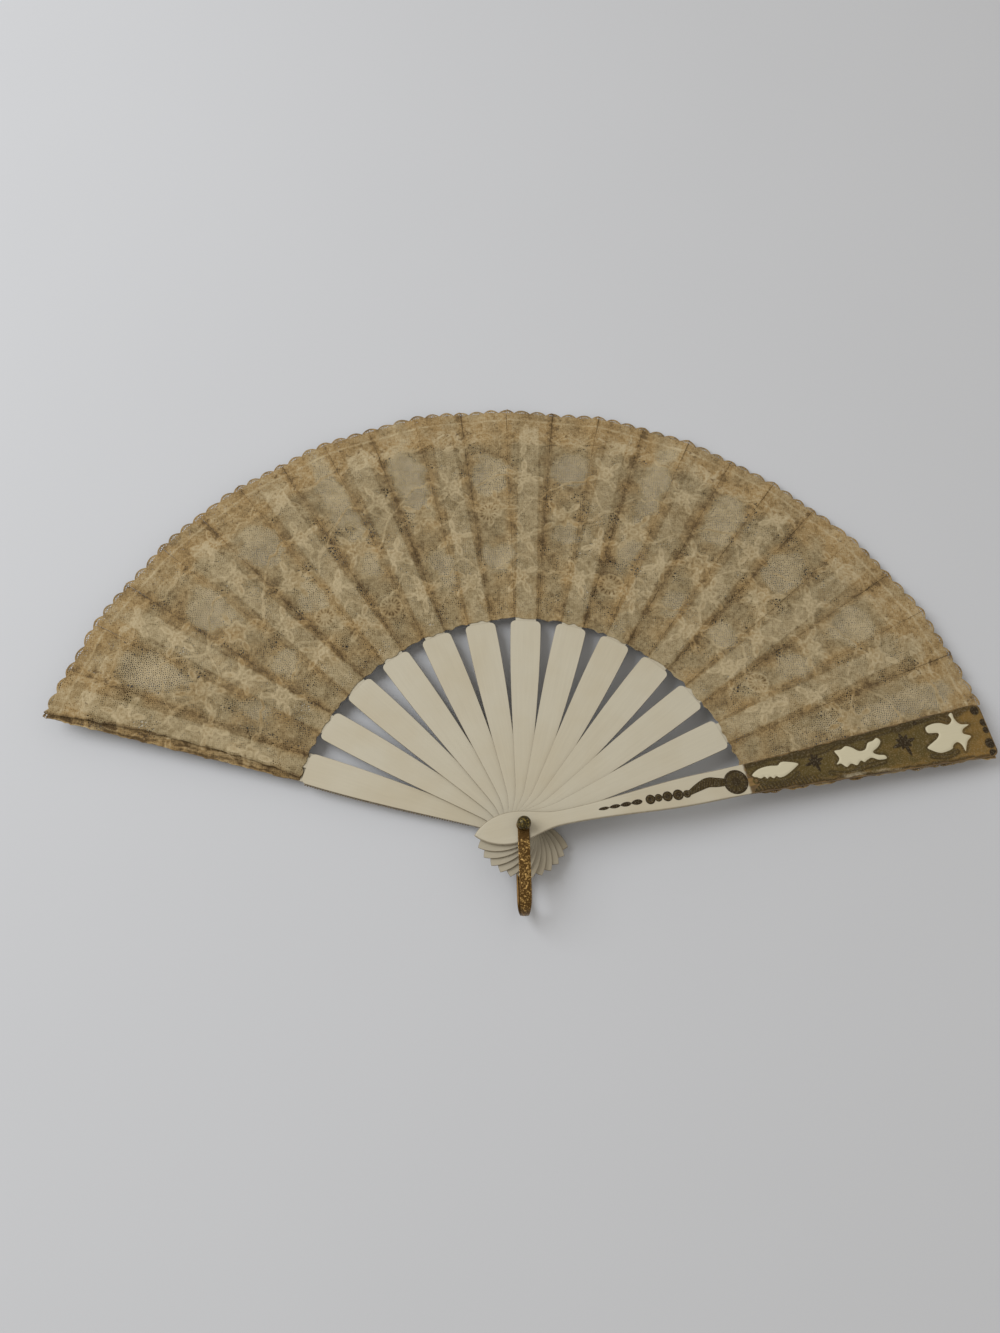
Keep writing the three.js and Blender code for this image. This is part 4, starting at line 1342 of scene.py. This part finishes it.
    def rim(self, pleat):
        """The scalloped edge: six scallops to a pleat, each a half wave, on a rim that bulges a
        little here and there."""
        wave = np.abs(np.sin(SCALLOPS * math.pi * pleat + 0.6 * soft_noise(pleat, 0 * pleat, 0.45, 91)))
        return sizes().leaf_radius + self.bulge(pleat) - 0.3 - SCALLOP_DEPTH * (1 - wave**0.75)

    def bulge(self, pleat):
        """How far the rim bulges."""
        return soft_noise(pleat, 0 * pleat, 0.5, 93)


def rear_edge(angle, radius):
    """The leaf's end wraps the rear guard and stops raggedly just past its lower edge."""
    across = radius * np.sin(angle - rear_angle())
    ragged = REAR_RAGGED * soft_noise(radius, radius, 3.1, 83)
    return guard_half_width(radius) + REAR_WRAP + ragged - across


def first_edge(angle, radius):
    """The first rib's panel stops short of that edge and leaves a soiled strip of the end."""
    along = np.clip((radius - sizes().leaf_inner) / (GUARD_RADIUS - sizes().leaf_inner), 0, 1)
    strip = STRIP_ENDS + STRIP_SWELL * np.sin(math.pi * along) ** 0.7
    strip = strip + REAR_RAGGED * soft_noise(radius, radius, 5.3, 85)
    return guard_half_width(radius) - strip - radius * np.sin(angle - rear_angle())


def front_edge(angle, radius):
    """The leaf peeps out raggedly past the front guard's lower edge."""
    across = radius * np.sin(front_angle() - angle)
    short = GUARD_RADIUS - 1.0 - radius
    ragged = FRONT_RAGGED * soft_noise(radius, radius, 4.3, 87)
    return np.minimum(guard_half_width(radius) + FRONT_PEEP + ragged - across, short)


class Panel:
    """The cloth of one panel between two angles, on a grid as fine as the lace grid. crease says
    which side lies in a valley: -1 the right one, 1 the left one, 0 neither. trim gives how far
    each place is inside a cut edge, and soiled is how brown the cloth is along it."""

    def __init__(self, lace, from_angle, to_angle, crease=0, rib_angle=None, trim=None, soiled=0.0):
        inner, outer = sizes().leaf_inner, sizes().leaf_radius + RIM_ROOM
        grid = sizes().lace_grid
        self.turn = to_angle - from_angle
        across = np.linspace(0, 1, int(math.ceil(self.turn * outer / grid)) + 1)
        along = np.linspace(inner, outer, int(math.ceil((outer - inner) / grid)) + 1)
        self.share, self.radius = np.meshgrid(across, along, indexing="ij")
        self.angle = from_angle + self.turn * self.share
        self.pleat = MIDDLE_STICK + (math.pi / 2 - self.angle) / math.radians(sizes().step)
        self.lace = lace
        self.middle = (from_angle + to_angle) / 2
        self.crease, self.rib_angle, self.soiled = crease, rib_angle, soiled
        self.density, cord, self.solid, self.holes, self.window = lace.at(self.pleat, self.radius)
        self.x, self.y = self.radius * np.cos(self.angle), self.radius * np.sin(self.angle)
        self.edge = lace.rim(self.pleat)
        base = sizes().leaf_radius - 2.3 + lace.bulge(self.pleat)
        self.sheer = smooth(base - 0.4, base + 0.4, self.radius)
        self.thread = smooth(0.8, 0.5, self.edge - self.radius)
        self.cord = np.maximum(cord * (1 - self.sheer), bell(self.radius - RIM_THREAD, 0.6))
        self.border = smooth(*BORDER, self.radius + 3 * self.noise(9.0, 31))
        self.fold = np.minimum(self.share, 1 - self.share) * self.turn * self.radius
        self.valley = (1 - self.share if crease > 0 else self.share) * self.turn * self.radius
        self.inside = trim(self.angle, self.radius) if trim else None

    def noise(self, scale, seed):
        """Noise over the whole leaf."""
        return soft_noise(self.x, self.y, scale, seed)

    def field(self):
        """Where there is cloth: inside the rim, the ragged inner edge and the cut edge, and
        outside the eyelets of the net."""
        turned_by = self.angle - self.middle
        u, v = self.radius * np.cos(turned_by), self.radius * np.sin(turned_by)
        eyelets = self.lace.openings(u, v, np.maximum(self.density, self.window))
        ragged = 0.55 + 0.75 * soft_noise(self.pleat, 0 * self.pleat, 0.11, 99)
        inner = self.radius - sizes().leaf_inner - np.maximum(ragged, 0)
        cut = [] if self.inside is None else [self.inside]
        return np.minimum.reduce([eyelets, self.edge - self.radius, inner, *cut])

    def faces(self, height):
        """The under and upper side of the cloth, which sways about its height, less where it is
        glued down, with its cords and flowers raised."""
        relief = 0.20 * self.cord + 0.1 * self.solid + 0.04 * self.noise(0.9, 3)
        ruffle = 0.7 * smooth(*RUFFLED, self.radius) * soft_noise(self.pleat * 9, self.radius * 0.04, 1.0, 8)
        sway = ruffle + 0.22 * self.noise(7.0, 21)
        if self.rib_angle is not None or not self.crease:
            sway = 0.14 * np.abs(sway)
        rest = height + sway
        half = sizes().lace_thickness / 2
        return [np.stack([self.x, self.y, z], -1) for z in (rest - half, rest + half + relief)]

    def cover(self):
        """Half the width of a thread: open net, windows of bare net, closed cords and flowers."""
        cover = 0.26 + 0.22 * self.density + 0.08 * self.noise(2.6, 23)
        cover = cover + (0.24 + 0.07 * self.noise(9.0, 29) - cover) * self.window
        cover = np.maximum(cover, 0.8 * np.maximum(smooth(0.3, 0.7, self.cord), self.solid))
        cover = cover + (0.14 - cover) * self.sheer
        return np.maximum(cover, 0.8 * self.thread)

    def rib_band(self):
        """The stripe where the rib shows through, and a line of painted shade on either side of it."""
        across = np.abs(self.radius * np.sin(self.angle - self.rib_angle))
        return smooth(*RIB_BAND, across) * smooth(*RIB_BAND_END, self.radius), bell(across - 5.6, 0.7)

    def tone(self):
        """Pale where the cloth is raised or thin, darker in soiled places, with dirt and painted shade
        in the creases, painted shade in the holes and beside the ribs, and painted light on the last pleats.
        """
        noise = self.noise
        tone = 0.48 + 0.09 * self.solid + 0.23 * self.cord + 0.36 * self.window + 0.07 * noise(13.0, 13)
        tone = tone + 0.11 * noise(1.7, 19) + 0.10 * noise(4.2, 43) - 0.10 * self.thread
        # Paler on the last pleats towards the front guard: painted light that makes up for the lamp's
        # falloff there.
        tone = tone + 0.11 * self.border + 0.06 * smooth(8.5, 12.5, self.pleat)
        tone = tone - 0.13 * smooth(0.25, 0.8, noise(2.6, 17)) * (1 - self.cord) * (1 - self.window)
        # Painted shade in the worked holes, which are not cut.
        tone = tone - 0.42 * smooth(-0.30, 0.12, self.holes)
        # Darker along the valley creases and the fold lines: dirt and painted shade.
        if self.crease:
            streaks = 0.13 + 0.13 * soft_noise(self.radius, self.radius, 6.0, 53)
            tone = tone - streaks * bell(self.valley, 1.9)
        tone = tone - 0.06 * bell(self.fold, 1.5)
        if self.rib_angle is not None:
            band, line = self.rib_band()
            tone = tone + 0.16 * band - 0.08 * line
        if self.inside is not None:
            streak = soft_noise(self.radius / 7.0, self.inside / 0.9, 1.0, 47)
            tone = tone - self.soiled * (0.24 + 0.36 * streak) * smooth(6.5, 5.0, self.inside)
            if self.soiled:
                tone = tone + 0.3 * smooth(0.8, 0.3, self.inside)
            else:
                tone = tone - 0.3 * smooth(1.6, 0.2, self.inside)
        return tone

    def warmth(self):
        """How ochre the cloth is."""
        warmth = 0.20 + 0.60 * self.border + 0.45 * self.noise(7.0, 51) + 0.24 * self.solid
        warmth = warmth - 0.08 * self.cord - 0.55 * self.window + 0.5 * bell(self.fold, 2.6)
        if self.rib_angle is not None:
            warmth = warmth - 0.25 * self.rib_band()[0]
        if self.inside is not None:
            warmth = warmth + 0.5 * self.soiled * smooth(7.0, 5.0, self.inside)
        return warmth

    def soil(self):
        """Where brown specks gather."""
        soil = 0.3 * self.noise(8.0, 37) + 0.4 * self.border - 1.2 * self.window
        if self.crease:
            soil = soil + 0.55 * bell(self.valley, 3.0)
        return soil


def lace_panel(name, panel, height, body, node, kept=1.0):
    """Cuts one panel of the leaf out of its grid. height is the middle of the cloth at each of
    the grid's points, and kept is the share of the cloth that a cut edge leaves."""
    values = {"tone": panel.tone(), "warmth": panel.warmth(), "cover": panel.cover(), "soil": panel.soil()}
    under, over = panel.faces(height)
    piece = make_mesh(name, *cut_sheet(under, over, panel.field(), values))
    paint(piece, bpy.data.materials["lace_thread"], "lace", body, node)
    inner, outer = sizes().leaf_inner, sizes().leaf_radius
    width, depth = panel.turn * outer * MM, (outer - inner) * MM
    area = panel.turn * (outer**2 - inner**2) / 2 * MM * MM * kept
    min(area, width * depth)
    return piece


def folded_plane(index, level, gap):
    """The plane, in the open fan, that a free panel is pressed into as the fan folds. Once the
    panel has turned over its fold line it lies a gap above the rib's panel and parallel to it.
    Gives the plane's normal and the point where the rivet's axis meets it."""
    fold = stick_angle(index) - half_panel()
    lean = rib_lean()
    rise = math.sin(half_panel()) * lean
    normal = (
        rise * math.cos(fold) - lean * math.sin(fold),
        rise * math.sin(fold) + lean * math.cos(fold),
        1,
    )
    joints = {joint["name"]: joint for joint in frame["record"]["behaviour"]["joints"]}
    hinge = joints[f"free_panel_{index:02d}_fold"]["pos_m"][2] / MM
    return normal, (0, 0, (2 * hinge - level - gap) * MM)


def rib_lace(lace, index, level):
    """The panel that is glued to a rib and leans with it."""
    centre, half, lean = stick_angle(index), half_panel(), rib_lean()
    trim, kept = (first_edge, FIRST_KEPT) if index == 1 else (None, 1.0)
    panel = Panel(lace, centre - half, centre + half, -1, centre, trim)
    height = level + panel.radius * np.sin(panel.angle - centre) * lean
    node = f"leaf_rib_panel_{index:02d}"
    piece = lace_panel(f"lace_on_rib_{index:02d}", panel, height, stick_body(index), node, kept)
    normal = (lean * math.sin(centre), -lean * math.cos(centre), 1)
    seat = (0, 0, (level - sizes().lace_thickness / 2) * MM)
    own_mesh(piece)


def free_lace(lace, index, level, next_level):
    """The panel that hangs from the next rib, or from the front guard, to the low side of this
    rib's panel."""
    half = half_panel()
    last = index == STICK_COUNT
    next_angle = front_angle() if last else stick_angle(index + 1)
    panel = Panel(lace, next_angle + half, stick_angle(index) - half, 1)
    drop = panel.radius * (math.sin(half) * rib_lean())
    ridge = next_level if last else next_level + drop
    sag = SAG * np.sin(math.pi * panel.share)
    height = ridge * (1 - panel.share) + (level - drop) * panel.share - sag
    body, node = f"free_panel_{index:02d}", f"leaf_free_panel_{index:02d}"
    piece = lace_panel(f"lace_free_{index:02d}", panel, height, body, node)
    normal, point = folded_plane(index, level, LAST_FOLD_GAP if last else FOLD_GAP)
    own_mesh(piece)


def end_lace(lace, side, from_angle, to_angle, trim, kept):
    """The panel at one end of the leaf, which is glued to a guard."""
    node, body = f"leaf_{side}_end", f"{side}_guard"
    panel = Panel(lace, from_angle, to_angle, trim=trim, soiled=1.0)
    height = middle_level(node) - END_DROP + 0 * panel.radius
    piece = lace_panel(f"lace_{side}_end", panel, height, body, node, kept)
    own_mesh(piece)


class FAN_OT_leaf(bpy.types.Operator):
    """Makes the pleated lace leaf, a panel for each rib and a free panel between"""

    bl_idname = "fan.leaf"
    bl_label = "Leaf"

    def execute(self, context):
        lace_finish()
        lace = Lace()
        levels = [middle_level(f"leaf_rib_panel_{i:02d}") for i in range(1, STICK_COUNT + 1)]
        levels.append(middle_level("leaf_front_end"))
        for index in range(1, STICK_COUNT + 1):
            rib_lace(lace, index, levels[index - 1])
            free_lace(lace, index, levels[index - 1], levels[index])
        rear, front, half = rear_angle(), front_angle(), half_panel()
        end_lace(lace, "rear", rear - half, rear + REAR_PAST * half, rear_edge, REAR_KEPT)
        end_lace(lace, "front", front - FRONT_PAST * half, front + half, front_edge, FRONT_KEPT)
        return {"FINISHED"}


# Rivet and bail

BALL_RADIUS = 3.1
BALL_NECK = 1.9
BALL_STEPS = 22
SHANK_RADIUS = 1.35
TAIL_RADIUS = 2.1
TAIL_HEIGHT = 0.5
TAIL_BEVEL = 0.2
BURR_RADIUS = 2.7
COLLAR_RADIUS = 2.5
BAIL_REACH = 38.0
BAIL_HALF_WIDTH = 2.6
BAIL_THICKNESS = 0.6
BAIL_START = 1.7
BAIL_BEVEL = 0.15
BAIL_STEPS = 300
EYE_RADIUS = 3.1
# From one wave of the chased stem to the next
CHASE_PITCH = 7.4


def rivet_profile(low, top):
    """Tail with a rounded edge, shank, neck and ball, as radius and height."""
    centre = top - BALL_RADIUS
    edge = TAIL_RADIUS - TAIL_BEVEL
    a = np.linspace(0, math.pi / 2, BEVEL_STEPS + 1)
    tail = [(edge + TAIL_BEVEL * math.sin(t), low + TAIL_BEVEL - TAIL_BEVEL * math.cos(t)) for t in a]
    start = -math.acos(BALL_NECK / BALL_RADIUS)
    a = np.linspace(start, math.pi / 2, BALL_STEPS)[:-1]
    ball = [(BALL_RADIUS * math.cos(t), centre + BALL_RADIUS * math.sin(t)) for t in a]
    neck = centre + BALL_RADIUS * math.sin(start) - 0.01
    shank = [(TAIL_RADIUS, low + TAIL_HEIGHT), (SHANK_RADIUS, low + TAIL_HEIGHT), (SHANK_RADIUS, neck)]
    return [(0, low), *tail, *shank, *ball, (0, top)]


def chased(along, across):
    """The bail's ornament: a waving stem with a curl in each bend and small dots beside it."""
    wave = 2 * math.pi * along / CHASE_PITCH
    stem = bell(across - 0.42 * np.sin(wave), 0.17)
    side = np.sign(np.sin(wave + math.pi / 2))
    bend = CHASE_PITCH / 2
    turn = np.round((along - bend / 2) / bend)
    swing = np.where(turn % 2 == 0, -0.35, 0.35)
    rho = np.hypot(along - (turn * bend + bend / 2), (across - swing) * BAIL_HALF_WIDTH)
    curl = bell(rho - 0.85, 0.24) + bell(rho, 0.35)
    rim = bell(np.abs(across) - 0.90, 0.07)
    dots = 0.5 * bell(np.abs(across) - 0.68, 0.09) * (np.sin(along * 5.2 + side) > 0.2)
    return np.clip(0.8 * stem + 0.7 * curl + 0.7 * rim + dots, 0, 1)


def fan_out(ring):
    """Triangles that close a ring, from its first point."""
    return np.stack([np.full(len(ring) - 2, ring[0]), ring[1:-1], ring[2:]], 1)


def bail_strip(low, high):
    """The U of strip: a straight arm, half a turn and the other arm. Across it the outer face
    is domed and chased and the inner one flat, and the strip narrows round the bend."""
    outer = (high - low) / 2
    bend = BAIL_REACH - outer
    straight = bend - BAIL_START
    turn = math.pi * outer
    along = np.linspace(0, 2 * straight + turn, BAIL_STEPS)[:, None]
    beta = np.clip((along - straight) / outer, 0, math.pi)
    reach = bend - np.clip(straight - along, 0, None) - np.clip(along - straight - turn, 0, None)
    width = BAIL_HALF_WIDTH * (1 - 0.30 * np.sin(beta) ** 3)
    across, back = np.linspace(-1, 1, 25), np.linspace(1, -1, 7)
    carving = chased(along, across)
    top = outer + (0.12 * (1 - across**2) + 0.16 * carving - 0.28)
    under = np.full((BAIL_STEPS, len(back)), outer - BAIL_THICKNESS)
    radial = np.concatenate([top, under], 1)
    x = np.concatenate([width * across, width * back * 0.96], 1)
    y = -(reach + radial * np.sin(beta))
    z = (low + high) / 2 + radial * np.cos(beta)
    points = np.stack([x, y, z], -1).reshape(-1, 3)
    count = radial.shape[1]
    quads = ring_faces(BAIL_STEPS, count)
    first = np.arange(count)
    caps = np.concatenate([fan_out(first[::-1]), fan_out(first + (BAIL_STEPS - 1) * count)])
    # Duller chasing just below the ball: painted shade and patina.
    carving = carving * (0.15 + 0.85 * smooth(1.5, 5.5, along))
    worn = np.concatenate([carving, np.full(under.shape, 0.3)], 1).ravel()
    return (points, quads[:, ::-1], caps[:, ::-1]), worn


class FAN_OT_metalwork(bpy.types.Operator):
    """Makes the rivet with its ball head, its burr and collar, and the chased bail"""

    bl_idname = "fan.metalwork"
    bl_label = "Metalwork"

    def execute(self, context):
        c = colours()
        patina = brass_finish("brass_patina", c.brass_dull, c.brass_dark)
        bright = brass_finish("brass_chased", c.brass, c.brass_deep)
        low, high = box_mm("rivet")
        points, *faces = lathe(rivet_profile(low[2], high[2]))
        ball = make_mesh("ball_rivet", points, faces, {"worn": 0.35 + 0.012 * points[:, 2]})
        paint(ball, patina, "brass", "rear_guard", "rivet")
        for name, radius in (("rivet_burr", BURR_RADIUS), ("rivet_collar", COLLAR_RADIUS)):
            low, high = box_mm(name)
            points, *faces = ring_solid(washer_profile(RIVET_HOLE, radius, low[2], high[2], TAIL_BEVEL))
            ring = make_mesh(f"{name}_ring", points, faces, {"worn": np.full(len(points), 0.1)})
            paint(ring, patina, "brass", "rear_guard", name)
        low, high = box_mm("bail")
        strip, worn = bail_strip(low[2], high[2])
        eyes = [
            ring_solid(washer_profile(RIVET_HOLE, EYE_RADIUS, z, z + BAIL_THICKNESS, BAIL_BEVEL))
            for z in (low[2], high[2] - BAIL_THICKNESS)
        ]
        points, *faces = joined(strip, *eyes)
        worn = np.concatenate([worn, np.full(len(points) - len(worn), 0.15)])
        # Duller near the eye under the ball, from patina and painted shade, and duller towards the lower
        # arm.
        tarnish_and_shade = smooth(8.0, 3.5, np.hypot(points[:, 0], points[:, 1])) + 0.6 * smooth(12, 6, points[:, 2])
        points = turned(points, math.radians(sizes().bail_turn))
        bail = make_mesh("chased_bail", points, faces, {"worn": worn - tarnish_and_shade})
        paint(bail, bright, "brass", "bail", "bail")
        return {"FINISHED"}


# Table, room, lamp and camera: places in metres, turns in degrees

TABLE_SLOPE = (0.036, 0.040)
TABLE_HALF_MM = 2500
TABLE_GAP_MM = 0.1
ROOM_COLOUR = (1.0, 0.955, 0.88, 1.0)
ROOM_STRENGTH = 0.54
LAMP_PLACE = (-1.20, 0.36, 1.15)
LAMP_AIM = (0.0, 0.1, 0.0)
LAMP_SIZE = 1.2
LAMP_ENERGY = 17.4
LAMP_COLOUR = (0.965, 0.985, 1.0)
CAMERA_PLACE = (-0.02875, -0.10275, 0.4451)
CAMERA_TURN = (22.56, -2.84, 1.50)
CAMERA_LENS = 26.624
CAMERA_SENSOR = 36


def table_drop(scene):
    """How far the sloping table has to be lowered to lie under every piece."""
    drop = 0.0
    for piece in scene.objects:
        if piece.type == "MESH" and len(piece.data.vertices):
            places = np.empty(len(piece.data.vertices) * 3, np.float32)
            piece.data.vertices.foreach_get("co", places)
            x, y, z = places.reshape(-1, 3).T / MM
            drop = min(drop, float((z - TABLE_SLOPE[0] * x - TABLE_SLOPE[1] * y).min()))
    return drop


def make_table(scene):
    """A pale plane that slopes with the fan's back and lies under it."""
    half = TABLE_HALF_MM
    corners = np.array([(-half, -half), (half, -half), (half, half), (-half, half)], float)
    slope_x, slope_y = TABLE_SLOPE
    heights = table_drop(scene) - TABLE_GAP_MM + corners[:, 0] * slope_x + corners[:, 1] * slope_y
    table = make_mesh("table", np.column_stack([corners, heights]), [np.array([[0, 1, 2, 3]])])
    s = Shader("table_top")
    pale = colours().table
    shade = s.mix(s.noise(s.place(), 0.006, 2.0), tuple(v * 0.97 for v in pale), pale)
    table.data.materials.append(s.surface(Base_Color=shade, Roughness=0.8, Specular_IOR_Level=0.1))


def placed(scene, data, place, turn):
    """Puts a lamp or camera into the scene."""
    holder = bpy.data.objects.new(data.name, data)
    holder.location = place
    holder.rotation_euler = turn
    scene.collection.objects.link(holder)
    return holder


class FAN_OT_stage(bpy.types.Operator):
    """Makes the pale table under whatever has been made, the lamps and the camera"""

    bl_idname = "fan.stage"
    bl_label = "Stage"

    def execute(self, context):
        scene = context.scene
        make_table(scene)
        scene.world = bpy.data.worlds.new("soft_room")
        scene.world.use_nodes = True
        light = scene.world.node_tree.nodes["Background"].inputs
        light[0].default_value = ROOM_COLOUR
        light[1].default_value = ROOM_STRENGTH
        lamp = bpy.data.lights.new("window_lamp", "AREA")
        lamp.shape = "DISK"
        lamp.size = LAMP_SIZE
        lamp.energy = LAMP_ENERGY
        lamp.color = LAMP_COLOUR
        aim = Vector(LAMP_AIM) - Vector(LAMP_PLACE)
        placed(scene, lamp, LAMP_PLACE, aim.to_track_quat("-Z", "Y").to_euler())
        camera = bpy.data.cameras.new("photo_camera")
        camera.sensor_width = CAMERA_SENSOR
        camera.sensor_fit = "AUTO"
        camera.lens = CAMERA_LENS
        scene.camera = placed(scene, camera, CAMERA_PLACE, [math.radians(a) for a in CAMERA_TURN])
        scene.view_settings.view_transform = "Standard"
        return {"FINISHED"}


class FAN_PT_panel(bpy.types.Panel):
    """Lists the fan's sizes, colours and groups of pieces"""

    bl_idname = "FAN_PT_panel"
    bl_label = "Lace folding fan"
    bl_space_type = "VIEW_3D"
    bl_region_type = "UI"
    bl_category = "Fan"

    def draw(self, context):
        for group in (context.scene.fan_sizes, context.scene.fan_colours):
            for key in group.__annotations__:
                self.layout.prop(group, key)
        for operator in OPERATORS:
            self.layout.operator(operator.bl_idname)


OPERATORS = (FAN_OT_sticks, FAN_OT_guards, FAN_OT_leaf, FAN_OT_metalwork, FAN_OT_stage)
CLASSES = (FanSizes, FanColours, *OPERATORS, FAN_PT_panel)


def register():
    """Adds the classes and the two groups of settings."""
    for cls in CLASSES:
        bpy.utils.register_class(cls)
    bpy.types.Scene.fan_sizes = bpy.props.PointerProperty(type=FanSizes)
    bpy.types.Scene.fan_colours = bpy.props.PointerProperty(type=FanColours)


def unregister():
    """Takes them away again."""
    del bpy.types.Scene.fan_sizes
    del bpy.types.Scene.fan_colours
    for cls in reversed(CLASSES):
        bpy.utils.unregister_class(cls)


def main():
    """Builds the fan."""
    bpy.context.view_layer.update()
    register()
    bpy.ops.fan.sticks()
    bpy.ops.fan.guards()
    bpy.ops.fan.leaf()
    bpy.ops.fan.metalwork()
    bpy.ops.fan.stage()


if __name__ == "__main__":
    main()
